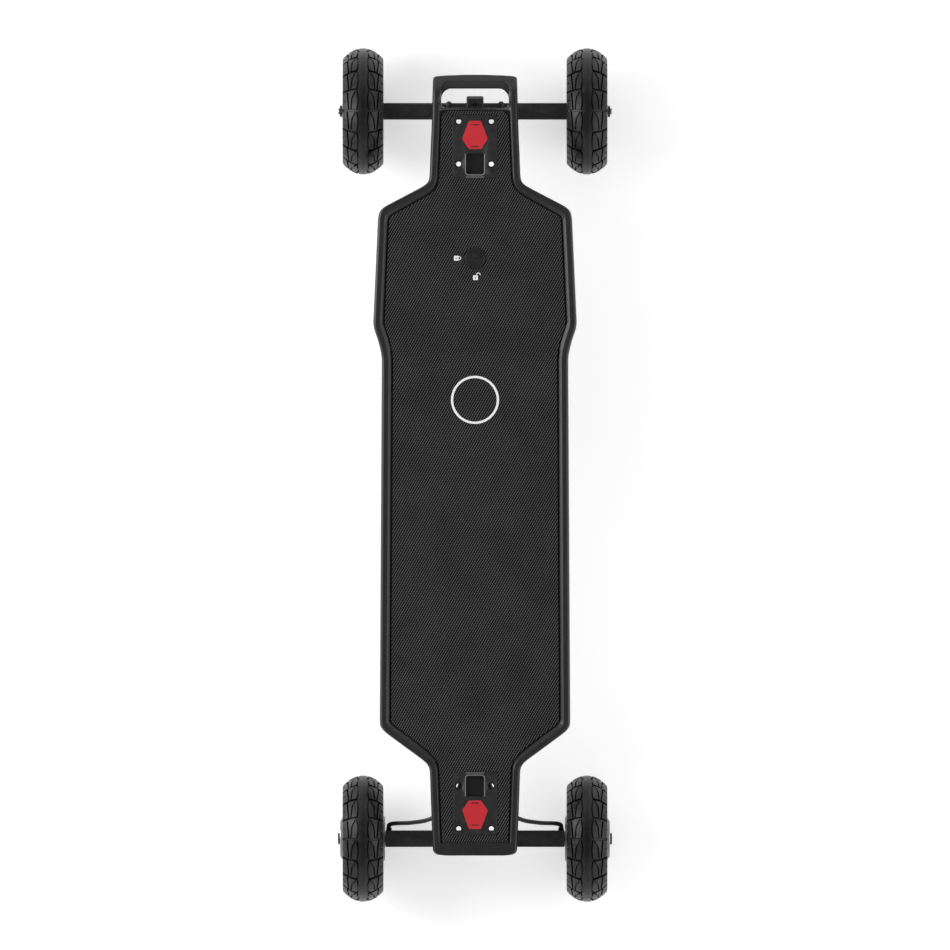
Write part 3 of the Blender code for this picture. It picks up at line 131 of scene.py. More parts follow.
class Nodes:
    """The nodes of a material or a world, with a short call for each kind.

    A value is a number, a colour or another node's output.
    """

    def __init__(self, owner, shader="Principled BSDF", coordinates="Object"):
        owner.use_nodes = True
        self.owner = owner
        self.tree = owner.node_tree
        self.shader = self.tree.nodes[shader]
        self.place = self.add("ShaderNodeTexCoord", {}).outputs[coordinates]

    def feed(self, node, inputs):
        for key, value in inputs.items():
            if isinstance(value, bpy.types.NodeSocket):
                self.tree.links.new(value, node.inputs[key])
            else:
                node.inputs[key].default_value = (*value, 1.0) if isinstance(value, tuple) else value
        return node

    def add(self, kind, inputs, **settings):
        node = self.tree.nodes.new(kind)
        for key, value in settings.items():
            setattr(node, key, value)
        return self.feed(node, inputs)

    def noise(self, scale, detail=4.0, roughness=0.55):
        inputs = {"Vector": self.place, "Scale": scale, "Detail": detail, "Roughness": roughness}
        return self.add("ShaderNodeTexNoise", inputs).outputs["Fac"]

    def ramp(self, value, low, high, out_low=0.0, out_high=1.0):
        """Maps a range of values to another, and holds it at the ends."""
        inputs = {"Value": value, "From Min": low, "From Max": high, "To Min": out_low, "To Max": out_high}
        return self.add("ShaderNodeMapRange", inputs).outputs["Result"]

    def mix(self, factor, low, high):
        """Between two colours."""
        return self.add("ShaderNodeMix", {0: factor, 6: low, 7: high}, data_type="RGBA").outputs[2]

    def count(self, operation, first, second=0.0):
        return self.add("ShaderNodeMath", {0: first, 1: second}, operation=operation).outputs[0]

    def bump(self, height, distance, strength=1.0, under=None):
        inputs = {"Height": height, "Distance": distance, "Strength": strength}
        if under is not None:
            inputs["Normal"] = under
        return self.add("ShaderNodeBump", inputs).outputs["Normal"]

    def done(self, inputs):
        """Sets the shader's own inputs, and gives back the material or world."""
        self.feed(self.shader, inputs)
        return self.owner


def surface(name, colour, roughness, metallic, grain, depth, mottle=0.18, edge_wear_and_highlight=0.0, specular=0.5):
    """A moulded, cast, painted or machined surface.

    grain is the size of its fine texture and depth that texture's height. mottle is how far its colour drifts, and
    edge_wear_and_highlight how much paler its edges are painted: partly rubbed wear, partly a painted highlight.
    """
    nodes = Nodes(bpy.data.materials.new(name))
    fine = nodes.noise(1 / grain, 3.0)
    broad = nodes.noise(14.0, 5.0, 0.6)
    patches = nodes.noise(95.0, 4.0, 0.65)
    drift = nodes.count("ADD", nodes.count("MULTIPLY", broad, 0.6), nodes.count("MULTIPLY", patches, 0.4))
    low, high = [tuple(channel * (1 + change) for channel in colour) for change in (-mottle, mottle)]
    tint = nodes.mix(nodes.ramp(drift, 0.32, 0.68), low, high)
    # Sharp edges painted paler: partly rubbed wear, partly a painted highlight where edges catch the light
    if edge_wear_and_highlight:
        edges = nodes.add("ShaderNodeNewGeometry", {}).outputs["Pointiness"]
        rubbed_and_lit_edges = nodes.count("MULTIPLY", nodes.ramp(edges, 0.515, 0.6), nodes.ramp(patches, 0.35, 0.62))
        pale_wear_and_highlight = tuple(min(1.0, channel * 2.6 + 0.035) for channel in colour)
        tint = nodes.mix(nodes.count("MULTIPLY", rubbed_and_lit_edges, edge_wear_and_highlight), tint, pale_wear_and_highlight)
    gloss = nodes.count("ADD", nodes.ramp(patches, 0.3, 0.7, -0.05, 0.05), nodes.ramp(fine, 0.3, 0.7, -0.03, 0.03))
    return nodes.done({
        "Base Color": tint, "Roughness": nodes.count("ADD", gloss, roughness), "Metallic": metallic,
        "Normal": nodes.bump(fine, depth, 1.0, nodes.bump(patches, depth * 1.5, 0.5)),
        "Specular IOR Level": specular,
    })


def grip_rubber():
    """Rubber matting with slanting ribs, each crest a painted highlight in short dashes, the troughs painted shade."""
    nodes = Nodes(bpy.data.materials.new("grip_rubber"))
    count = nodes.count
    x, y = nodes.add("ShaderNodeSeparateXYZ", {0: nodes.place}).outputs[:2]
    sine, cosine = RIB_NORMAL[0], -RIB_NORMAL[1]
    across = count("SUBTRACT", count("MULTIPLY", x, sine), count("MULTIPLY", y, cosine))
    along = count("ADD", count("MULTIPLY", x, cosine), count("MULTIPLY", y, sine))
    rows = count("DIVIDE", across, RIB_PITCH)
    from_crest = count("ABSOLUTE", count("SUBTRACT", count("FRACT", rows), 0.5))
    crest = nodes.ramp(from_crest, 0.13, 0.3, 1.0, 0.0)
    shifted = count("ADD", count("DIVIDE", along, DASH_PITCH), count("MULTIPLY", count("FLOOR", rows), DASH_SHIFT))
    from_dash = count("ABSOLUTE", count("SUBTRACT", count("FRACT", shifted), 0.5))
    dash = nodes.ramp(from_dash, 0.16, 0.4, 1.0, 0.25)
    fine = nodes.noise(1500.0, 2.0)
    painted_crest_light = count("MULTIPLY", count("MULTIPLY", crest, dash), nodes.ramp(nodes.noise(22.0), 0.3, 0.7, 0.75, 1.0))
    lit = count("MULTIPLY", painted_crest_light, nodes.ramp(fine, 0.3, 0.7, 0.8, 1.0))
    return nodes.done({
        # Near black in the troughs as painted shade, pale on the crests as painted highlight
        "Base Color": nodes.mix(lit, (0.0012, 0.0012, 0.0013), (0.118, 0.118, 0.121)),
        "Roughness": nodes.ramp(fine, 0.2, 0.8, 0.72, 0.9), "Specular IOR Level": 0.12,
        "Normal": nodes.bump(fine, 0.00008, 0.8, nodes.bump(dash, 0.00015, 0.7)),
    })


def clear_rubber():
    """The pale, slightly see-through urethane of the bushings."""
    nodes = Nodes(bpy.data.materials.new("bushing_urethane"))
    cloud = nodes.noise(160.0)
    return nodes.done({
        "Base Color": nodes.mix(nodes.ramp(cloud, 0.3, 0.7), (0.44, 0.44, 0.45), (0.6, 0.6, 0.61)),
        "Roughness": nodes.ramp(cloud, 0.3, 0.7, 0.24, 0.38), "Normal": nodes.bump(cloud, 0.0001, 0.5),
        "Coat Weight": 0.3, "Subsurface Weight": 0.35, "Subsurface Scale": 0.004,
    })


def circuit_green():
    """A board's green lacquer over copper tracks."""
    nodes = Nodes(bpy.data.materials.new("circuit_lacquer"))
    cells = nodes.add("ShaderNodeTexVoronoi", {"Vector": nodes.place, "Scale": 260.0}, distance="CHEBYCHEV")
    tracks = nodes.ramp(cells.outputs["Distance"], 0.28, 0.34)
    return nodes.done({
        "Base Color": nodes.mix(tracks, (0.012, 0.075, 0.032), (0.02, 0.125, 0.052)),
        "Roughness": nodes.ramp(tracks, 0.0, 1.0, 0.3, 0.42), "Normal": nodes.bump(tracks, 0.00008),
    })


RIB_PITCH = 0.0028
RIB_RISE = 0.00042
RIB_SLANT = math.radians(60)
RIB_NORMAL = (math.sin(RIB_SLANT), -math.cos(RIB_SLANT))
DASH_PITCH = 0.0024
DASH_SHIFT = 0.37

# Colour, roughness, metal, grain, depth, mottle, edge wear and painted highlight, specular, as surface() takes them
SURFACES = {
    # The deck's and the tyres' high edge values are mostly a painted highlight along their edges
    "deck_composite": ((0.0118, 0.0118, 0.0122), 0.36, 0.0, 0.0008, 0.00005, 0.1, 0.6, 0.42),
    "plate_aluminium": ((0.0135, 0.0135, 0.0139), 0.46, 0.1, 0.0006, 0.00003, 0.05, 0.1, 0.35),
    # A pale grey for thin lines that stand for light on edges: painted highlight
    "painted_highlight_grey": ((0.26, 0.26, 0.27), 0.4, 0.3, 0.0006, 0.00003),
    "tyre_rubber": ((0.004, 0.004, 0.0042), 0.36, 0.0, 0.0009, 0.00008, 0.3, 0.7, 0.3),
    "black_cast_metal": ((0.024, 0.024, 0.0246), 0.38, 0.25, 0.001, 0.00007, 0.06, 0.3),
    "black_steel": ((0.02, 0.02, 0.0205), 0.34, 0.6, 0.0007, 0.00003, 0.2, 0.8),
    "bright_steel": ((0.42, 0.42, 0.43), 0.28, 1.0, 0.0005, 0.00003, 0.1),
    "motor_aluminium": ((0.1, 0.1, 0.103), 0.4, 0.45, 0.0006, 0.00004, 0.06, 0.3),
    # Two tones of one rim plastic; the darker one also carries painted shade on the sunken outer spokes
    "rim_black_and_painted_shade": ((0.006, 0.006, 0.0062), 0.42, 0.0, 0.0008, 0.00004, 0.18, 0.2, 0.4),
    "rim_grey": ((0.052, 0.052, 0.054), 0.42, 0.1, 0.0008, 0.00004, 0.1, 0.3),
    "battery_plastic": ((0.015, 0.015, 0.0154), 0.4, 0.0, 0.0009, 0.00006, 0.1, 0.3, 0.45),
    "black_plastic": ((0.01, 0.01, 0.0102), 0.38, 0.0, 0.0007, 0.00005, 0.14, 0.3, 0.4),
    "knob_black": ((0.0085, 0.0085, 0.0088), 0.4, 0.1, 0.0006, 0.00004, 0.1, 0.3, 0.4),
    "cable_rubber": ((0.009, 0.009, 0.0092), 0.34, 0.0, 0.0012, 0.00005, 0.2, 0.0, 0.55),
    "stator_steel": ((0.3, 0.17, 0.1), 0.42, 0.8, 0.0008, 0.00008, 0.25),
    "cell_wrap": ((0.05, 0.14, 0.3), 0.38, 0.0, 0.0015, 0.00005, 0.1),
    "badge_red": ((0.5, 0.02, 0.03), 0.48, 0.0, 0.0006, 0.00003, 0.06, 0.0, 0.3),
    "pad_red": ((0.1, 0.007, 0.01), 0.5, 0.0, 0.0006, 0.00003, 0.15),
    "white_print": ((0.8, 0.8, 0.8), 0.55, 0.0, 0.0006, 0.00003, 0.04),
}
MATERIALS = {name: surface(name, *values) for name, values in SURFACES.items()}
MATERIALS.update(grip_rubber=grip_rubber(), bushing_rubber=clear_rubber(), circuit_board=circuit_green())


# ---------------- meshes


def shade(mesh, angle=35):
    mesh.shade_smooth()
    mesh.set_sharp_from_angle(angle=math.radians(angle))


def add_object(name, data):
    obj = bpy.data.objects.new(name, data)
    bpy.context.scene.collection.objects.link(obj)
    return obj


def make(name, bm, material=None):
    """Closes a bmesh into an object. One without a material is only a tool for cutting."""
    bmesh.ops.remove_doubles(bm, verts=bm.verts, dist=MERGE)
    bmesh.ops.recalc_face_normals(bm, faces=bm.faces)
    mesh = bpy.data.meshes.new(name)
    bm.to_mesh(mesh)
    bm.free()
    shade(mesh)
    if material:
        mesh.materials.append(MATERIALS[material])
    return add_object(name, mesh)


def settle(obj):
    """Applies an object's modifiers."""
    graph = bpy.context.evaluated_depsgraph_get()
    mesh = bpy.data.meshes.new_from_object(obj.evaluated_get(graph))
    obj.modifiers.clear()
    obj.data = mesh
    return obj


def at(x, y, z=0.0):
    return Matrix.Translation((x, y, z))


def about(axis, angle):
    return Matrix.Rotation(angle, 4, axis)


def place(obj, matrix):
    obj.data.transform(matrix)
    if matrix.determinant() < 0:
        obj.data.flip_normals()
    return obj


def combine(target, operation, tools):
    for tool in tools:
        modifier = target.modifiers.new("combine", "BOOLEAN")
        modifier.operation = operation
        modifier.object = tool
        modifier.solver = "EXACT"
        modifier.material_mode = "TRANSFER"
    settle(target)
    for tool in tools:
        bpy.data.objects.remove(tool)
    shade(target.data)
    return target


def unite(target, *tools):
    return combine(target, "UNION", tools)


def subtract(target, *tools):
    return combine(target, "DIFFERENCE", tools)


def soften(obj, width, segments=2, angle=35):
    """Rounds an object's sharp edges, and keeps its flat faces flat in shading."""
    bevel = obj.modifiers.new("soften", "BEVEL")
    bevel.width = width
    bevel.segments = segments
    bevel.limit_method = "ANGLE"
    bevel.angle_limit = math.radians(angle)
    settle(obj)
    shade(obj.data, 50)
    return even_normals(obj)


def even_normals(obj):
    weighted = obj.modifiers.new("even", "WEIGHTED_NORMAL")
    weighted.keep_sharp = True
    return settle(obj)


def join(name, objects):
    """One object out of several that are in place."""
    bm = bmesh.new()
    materials = []
    for obj in objects:
        start = len(bm.faces)
        bm.from_mesh(obj.data)
        bm.faces.ensure_lookup_table()
        for face in bm.faces[start:]:
            own = obj.data.materials[face.material_index]
            if own not in materials:
                materials.append(own)
            face.material_index = materials.index(own)
    mesh = bpy.data.meshes.new(name)
    bm.to_mesh(mesh)
    bm.free()
    for material in materials:
        mesh.materials.append(material)
    for obj in objects:
        bpy.data.objects.remove(obj)
    shade(mesh, 40)
    return add_object(name, mesh)


def turned(name, profile, material=None, segments=48):
    """A profile of (radius, height) turned about Z. Where it meets the axis the turn closes it."""
    bm = bmesh.new()
    points = [bm.verts.new((radius, 0, height)) for radius, height in profile]
    pairs = list(zip(points, points[1:]))
    if profile[0][0] > 0 or profile[-1][0] > 0:
        pairs.append((points[-1], points[0]))
    edges = [bm.edges.new(pair) for pair in pairs]
    bmesh.ops.spin(
        bm, geom=points + edges, cent=(0, 0, 0), axis=(0, 0, 1), angle=math.tau, steps=segments, use_merge=True
    )
    return make(name, bm, material)


def prism(name, corners, travel, material=None):
    bm = bmesh.new()
    face = bm.faces.new([bm.verts.new(corner) for corner in corners])
    grown = bmesh.ops.extrude_face_region(bm, geom=[face], use_keep_orig=True)
    moved = [item for item in grown["geom"] if isinstance(item, bmesh.types.BMVert)]
    bmesh.ops.translate(bm, verts=moved, vec=travel)
    return make(name, bm, material)


def slab(name, outline, bottom, top, material=None):
    return prism(name, [(x, y, bottom) for x, y in outline], (0, 0, top - bottom), material)


def side_plate(name, outline, half_width, material=None):
    return prism(name, [(-half_width, y, z) for y, z in outline], (2 * half_width, 0, 0), material)


def block(name, low, high, material=None):
    outline = ((low[0], low[1]), (high[0], low[1]), (high[0], high[1]), (low[0], high[1]))
    return slab(name, outline, low[2], high[2], material)


def rounded(half_x, y0, y1, corner, steps=8, rear_corner=None):
    rear = rear_corner or corner
    centres = ((half_x - corner, y1 - corner, corner), (corner - half_x, y1 - corner, corner))
    centres += ((rear - half_x, y0 + rear, rear), (half_x - rear, y0 + rear, rear))
    outline = []
    for quarter, (cx, cy, radius) in enumerate(centres):
        for step in range(steps + 1):
            angle = (quarter + step / steps) * math.pi / 2
            outline.append((cx + radius * math.cos(angle), cy + radius * math.sin(angle)))
    return outline


def rings_to_mesh(name, rings, material=None):
    """Rings of points, each joined to the next and closed at both ends."""
    bm = bmesh.new()
    made = [[bm.verts.new(point) for point in ring] for ring in rings]
    for ring, following in zip(made, made[1:]):
        for i in range(len(ring)):
            j = (i + 1) % len(ring)
            bm.faces.new((ring[i], ring[j], following[j], following[i]))
    bm.faces.new(made[0])
    bm.faces.new(made[-1])
    return make(name, bm, material)


def stacked(name, outlines, material=None):
    """Outlines in X and Y at rising heights, each with as many points as the last."""
    return rings_to_mesh(name, [[(x, y, z) for x, y in outline] for outline, z in outlines], material)


def cylinder(name, matrix, radius, bottom, top, material=None, segments=40, edge=0.0):
    """A cylinder along local Z with chamfered ends."""
    profile = (
        (0, bottom), (radius - edge, bottom), (radius, bottom + edge), (radius, top - edge), (radius - edge, top)
    )
    if not edge:
        profile = ((0, bottom), (radius, bottom), (radius, top))
    return place(turned(name, profile + ((0, top),), material, segments), matrix)


def hexagon(radius, phase=0.0):
    return [
        (radius * math.cos(phase + i * math.pi / 3), radius * math.sin(phase + i * math.pi / 3)) for i in range(6)
    ]


def nut(name, across_corners, bottom, top, bore=0.0, phase=0.0):
    """A hexagon nut with turned corners. Its bore is optional."""
    body = slab(name, hexagon(across_corners, phase), bottom, top, "black_steel")
    slope = across_corners * 0.16
    half = ((0, -0.001), (across_corners * 0.9, 0), (across_corners * 1.01, slope * 0.7))
    profile = [(r, bottom + h) for r, h in half] + [(r, top - h) for r, h in reversed(half)]
    combine(body, "INTERSECT", [turned("nut_corners", profile)])
    if bore:
        subtract(body, cylinder("nut_bore", at(0, 0), bore, bottom - 0.01, top + 0.01, segments=48))
    return soften(body, 0.0002, 2, 30)


def socket_screw(radius, bottom, top, material="black_steel", hex_radius=None):
    """A round head with a hexagon socket, along Z."""
    edge = radius * 0.16
    profile = ((0, bottom), (radius, bottom), (radius, top - edge), (radius - edge * 0.3, top - edge * 0.3))
    head = turned("screw", profile + ((radius - edge, top), (0, top)), material, 32)
    reach = hex_radius or radius * 0.48
    return subtract(head, slab("socket", hexagon(reach), top - radius * 0.45, top + 0.001))


def tube(name, points, radius, material, sides=20):
    """A round tube along points, with flat ends."""
    places = [Vector(point) for point in points]
    tangents = [(b - a).normalized() for a, b in zip(places, places[1:])]
    tangents = [tangents[0]] + [(a + b).normalized() for a, b in zip(tangents, tangents[1:])] + [tangents[-1]]
    normal = tangents[0].orthogonal().normalized()
    rings = []
    for centre, tangent in zip(places, tangents):
        normal = (normal - tangent * normal.dot(tangent)).normalized()
        other = tangent.cross(normal)
        size = radius[len(rings)] if isinstance(radius, list) else radius
        angles = [math.tau * k / sides for k in range(sides)]
        rings.append([centre + size * (normal * math.cos(a) + other * math.sin(a)) for a in angles])
    return rings_to_mesh(name, rings, material)


def ribbon(name, points, width, bottom, top, material):
    """A flat strip of even width along points in X and Y."""
    places = [Vector(point) for point in points]
    left, right = [], []
    for before, here, after in zip(places[:1] + places, places, places[1:] + places[-1:]):
        way = (after - before).normalized()
        across = Vector((-way.y, way.x)) * width / 2
        left.append(here + across)
        right.append(here - across)
    bm = bmesh.new()
    rows = [[bm.verts.new((p.x, p.y, z)) for p in side] for side in (left, right) for z in (bottom, top)]
    for i in range(len(places) - 1):
        for a, b in ((0, 1), (1, 3), (3, 2), (2, 0)):
            bm.faces.new((rows[a][i], rows[a][i + 1], rows[b][i + 1], rows[b][i]))
    for end in (0, -1):
        bm.faces.new([rows[k][end] for k in (0, 1, 3, 2)])
    return make(name, bm, material)


def smooth_route(points, steps):
    """Points along a Catmull-Rom curve through the given ones."""
    route = [Vector(point) for point in points]
    padded = [2 * route[0] - route[1]] + route + [2 * route[-1] - route[-2]]
    found = []
    for a, b, c, d in zip(padded, padded[1:], padded[2:], padded[3:]):
        for step in range(steps):
            t = step / steps
            bend = (2 * a - 5 * b + 4 * c - d) * t**2 + (3 * b - a - 3 * c + d) * t**3
            found.append(0.5 * (2 * b + (c - a) * t + bend))
    return found + [route[-1]]


def on_axle(obj, end, side):
    """Puts a piece made about Z on an axle, with its height outwards along X."""
    return place(obj, at(0, end * AXLE_Y, AXLE_Z) @ about("Y", side * math.pi / 2))


def finish(obj, body=None, slot=None):
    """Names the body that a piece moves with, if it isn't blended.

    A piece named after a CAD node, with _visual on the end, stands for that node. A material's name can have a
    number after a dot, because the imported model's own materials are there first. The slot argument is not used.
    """
    if body:
        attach(obj, body)
    if obj.name.endswith("_visual"):
        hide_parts(obj.name.removesuffix("_visual"))
    slot = slot or obj.data.materials[0].name.split(".")[0]
    return obj


# ---------------- deck


def bend(start, corner, end, steps):
    """Points along the curve from start to end that corner pulls on."""
    shares = [step / steps for step in range(steps + 1)]
    return [start * (1 - t) ** 2 + corner * 2 * t * (1 - t) + end * t**2 for t in shares]


def smoothed(table, reach):
    """Rounds a table's corners, up to reach on both sides of each, so that it reads as one flowing line."""
    points = [Vector(pair) for pair in table]
    found = [points[0]]
    for before, corner, after in zip(points, points[1:], points[2:]):
        start = corner + (before - corner) * min(0.4, reach / (before - corner).length)
        end = corner + (after - corner) * min(0.4, reach / (after - corner).length)
        found += bend(start, corner, end, 4)
    return np.array([tuple(point) for point in found + [points[-1]]])


EDGE = smoothed(HALF_WIDTH, 0.007)
TOP_LINE = smoothed(TOP_HEIGHT, 0.009)
UNDER_LINE = smoothed(UNDERSIDE_HEIGHT, 0.009)


def read(line, y):
    return float(np.interp(y, line[:, 0], line[:, 1]))


def slope_width(stations):
    """How wide the hollow's sloping wall is at each y: narrow along the necks, wider round the body."""
    return np.interp(np.abs(stations), (0.33, 0.372), (RIM_SLOPE, NECK_SLOPE))


def inset_half_widths(stations, inset):
    """For each y, how far from the centre line a point can be and stay inset from the deck's edge."""
    starts, ends = EDGE[:-1, ::-1], EDGE[1:, ::-1]
    along = ends - starts
    lengths = (along**2).sum(1)
    y = np.array(stations)
    low, high = np.zeros(len(y)), np.interp(y, EDGE[:, 0], EDGE[:, 1])
    for _ in range(24):
        middle = (low + high) / 2
        points = np.stack([middle, y], 1)[:, None, :]
        share = np.clip(((points - starts) * along).sum(2) / lengths, 0, 1)
        gap = np.linalg.norm(points - starts - share[..., None] * along, axis=2).min(1)
        low, high = np.where(gap >= inset, middle, low), np.where(gap >= inset, high, middle)
    return low


def spread_stations(start, end, wanted=0.012, least=0.0008):
    """Stations at the outline's own points, with more between them where they are far apart."""
    own = [y for line in (EDGE, TOP_LINE, UNDER_LINE) for y in line[:, 0] if start < y < end]
    found = [start]
    for y in sorted(own) + [end]:
        steps = max(1, math.ceil((y - found[-1]) / wanted))
        if y - found[-1] >= least or y == end:
            if y == end and y - found[-1] < least and len(found) > 1:
                found.pop()
            previous = found[-1]
            found += [previous + (y - previous) * k / steps for k in range(1, steps + 1)]
    return found


def mirrored(right_side, y):
    return [(x, y, z) for x, z in right_side] + [(-x, y, z) for x, z in reversed(right_side)]


def shell_section(y):
    half, top, under = read(EDGE, y), read(TOP_LINE, y), read(UNDER_LINE, y)
    band = max(top - SIDE_BAND, under + 0.0016)
    side = [
        (half - 0.0105, under), (half - SIDE_UNDERCUT - 0.0006, under + 0.0003),
        (half - SIDE_UNDERCUT, under + 0.0009),
    ]
    side += [(half - 0.0014, band - 0.0006), (half - 0.0004, band), (half, band + 0.0009)]
    fall = min(EDGE_FALL, (top - band) * 0.62)
    for step in range(8):
        angle = step / 7 * math.pi / 2
        side.append((half - EDGE_REACH * (1 - math.cos(angle)), top - fall * (1 - math.sin(angle))))
    return mirrored(side, y)


def recess_rings(start, end, floor_drop=RECESS_DEPTH, widen=0.0):
    """The hollow for the mat: sloping walls that roll over into the rim."""
    stations = spread_stations(start, end, 0.008)
    floors = inset_half_widths(stations, RIM_BAND + slope_width(stations)) + widen
    mouths = inset_half_widths(stations, RIM_BAND) + widen
    rings = []
    for y, floor, mouth in zip(stations, floors, mouths):
        top = read(TOP_LINE, y)
        slope = (mouth - floor) / floor_drop
        side = [(floor, top - floor_drop), (mouth - slope * RIM_LIP, top - RIM_LIP)]
        side += [
            (mouth - slope * RIM_LIP * 0.35, top - RIM_LIP * 0.4), (mouth + RIM_LIP * 0.35, top - RIM_LIP * 0.1)
        ]
        side += [(mouth + RIM_LIP, top + 0.0001), (mouth + RIM_LIP, top + 0.01)]
        rings.append(mirrored(side, y))
    return rings


def hole(x, y, radius, low, high, flares=()):
    """An upright hole's cutter. Each flare is a height, a reach and which way it opens, for a chamfer there."""
    profile = [(0, low), (radius, low)]
    for height, reach, way in flares:
        if way < 0:
            profile[-1:] = [(radius + reach, low), (radius + reach, height), (radius, height + reach)]
        else:
            profile += [(radius, height - reach), (radius + reach, height), (radius + reach, high)]
    if not flares or flares[-1][2] < 0:
        profile.append((radius, high))
    profile.append((0, high))
    return place(turned("hole", profile, None, 32), at(x, y))


def bolt_places(end):
    return [(side * BOLT_X, end * y) for _, side in SIDES for y in BOLT_Y]


def handle_cutter():
    """The hand hold's opening. Its front wall slopes forward as it rises, for the fingers."""
    levels = (
        (0.13, 0.0025, 0.4922, 0.4615), (0.1441, 0.0025, 0.4922, 0.4615), (0.1449, 0.001, 0.4909, 0.463),
        (0.1462, 0.0002, 0.4903, 0.4638), (0.148, 0.0, 0.4904, 0.464), (0.1512, 0.0, 0.4945, 0.464),
        (0.1538, 0.0002, 0.4982, 0.464), (0.1552, 0.0004, 0.4995, 0.464), (0.16, 0.0008, 0.5002, 0.4638),
        (0.1612, 0.0014, 0.5004, 0.4634), (0.1622, 0.0028, 0.5006, 0.4624), (0.175, 0.0028, 0.5006, 0.4624),
    )
    outlines = []
    for z, widen, front, rear in levels:
        outline = rounded(0.0426 + widen, rear, front, 0.0115, 10, 0.006)
        drop = 0.0036 if z < 0.153 else 0.0018
        bow = [(x, y - drop * (x / 0.043) ** 2 if y > 0.478 else y) for x, y in outline]
        outlines.append((bow, z))
    return stacked("handle_cutter", outlines)


def finger_outline():
    return ((-0.0188, 0.29), (0.0188, 0.29), (0.0188, 0.33), (0.014, 0.34), (-0.014, 0.34), (-0.0188, 0.33))


def build_shell():
    stations = spread_stations(-0.481, 0.506)
    shell = rings_to_mesh("deck_shell_visual", [shell_section(y) for y in stations], "deck_composite")
    soften(shell, 0.0018, 3, 55)
    recess = rings_to_mesh("recess_cutter", recess_rings(MAT_REAR_Y, MAT_FRONT_Y))
    bridge = rings_to_mesh("bridge_cutter", recess_rings(MAT_FRONT_Y - 0.004, 0.47, 0.0029))
    notch = slab("notch_cutter", rounded(0.0115, -0.5, -0.4735, 0.003, 6), 0.13, 0.152)
    bay = slab("bay_cutter", rounded(0.0862, 0.0095, 0.3055, 0.028, 8, 0.006), 0.12, 0.143)
    controller = block("controller_bay_cutter", (-0.076, -0.286, 0.12), (0.076, -0.137, 0.143))
    finger = slab("finger_cutter", finger_outline(), 0.12, 0.141)
    shaft = hole(0, LOCK_Y, 0.0046, 0.13, 0.16)
    tools = [recess, bridge, handle_cutter(), notch, bay, controller, finger, shaft]
    for name, end in ENDS:
        y0, y1 = sorted(end * y for y in PLATE_WINDOW_Y)
        tools.append(slab(name + "_window_cutter", rounded(0.012, y0, y1, 0.002, 6), 0.15, 0.17))
        for x, y in bolt_places(end):
            tools.append(hole(x, y, 0.0032, 0.13, 0.18, ((0.1443, 0.0006, -1),)))
    subtract(shell, *tools)
    shade(shell.data, 32)
    finish(shell, "deck")


def build_mat():
    """The mat's ribs run slantwise in real relief. They are cut to the mat's outline and round the pieces set in it."""
    stations = spread_stations(MAT_REAR_Y + GAP, MAT_FRONT_Y - GAP, 0.01)
    halves = inset_half_widths(stations, RIM_BAND + slope_width(stations) + GAP)
    floor_drop = RECESS_DEPTH - GAP
    form = []
    for y, half in zip(stations, halves):
        corner = min(1.0, (MAT_FRONT_Y - y) / 0.006)
        half -= 0.006 * (1 - corner)
        floor = read(TOP_LINE, y) - floor_drop
        form.append(mirrored([(half, floor), (half, floor + MAT_THICKNESS + 0.002)], y))
    mat = rings_to_mesh("grip_mat_visual", form, "grip_rubber")
    cutters = []
    for _, end in ENDS:
        y0, y1 = sorted((end * (PLATE_INNER_Y - GAP), end * (PLATE_OUTER_Y + GAP)))
        cutters.append(slab("bed", rounded(PLATE_HALF_WIDTH + GAP, y0, y1, 0.003, 6), 0.15, 0.17))
    subtract(mat, *cutters, hole(0, LOCK_Y, 0.0137, 0.14, 0.17))
    combine(mat, "INTERSECT", [rib_sheet(floor_drop)])
    shade(mat.data, 25)
    finish(mat, "deck")


def rib_sheet(floor_drop):
    """A closed sheet that covers the mat, with slanting ribs on its top."""
    profile = ((0.0, 0.0), (0.38, 0.0), (0.5, RIB_RISE), (0.88, RIB_RISE))
    reach_across, reach_along, steps = 0.345, 0.475, 60
    rows = int(2 * reach_across / RIB_PITCH) + 1
    across_way = np.array(RIB_NORMAL)
    along_way = np.array([-RIB_NORMAL[1], RIB_NORMAL[0]])
    rings = []
    for row in range(rows):
        for share, height in profile:
            across = (row - rows // 2 + share) * RIB_PITCH
            ring = []
            for step in range(steps + 1):
                along = -reach_along + 2 * reach_along * step / steps
                x, y = across_way * across + along_way * along
                base = read(TOP_LINE, y) - floor_drop
                ring = [(x, y, base - 0.01)] + ring + [(x, y, base + MAT_THICKNESS + height)]
            rings.append(ring)
    return rings_to_mesh("rib_sheet", rings)


# ---------------- pieces in the mat


def mat_top(y):
    return read(TOP_LINE, y) - RECESS_DEPTH + GAP + MAT_THICKNESS


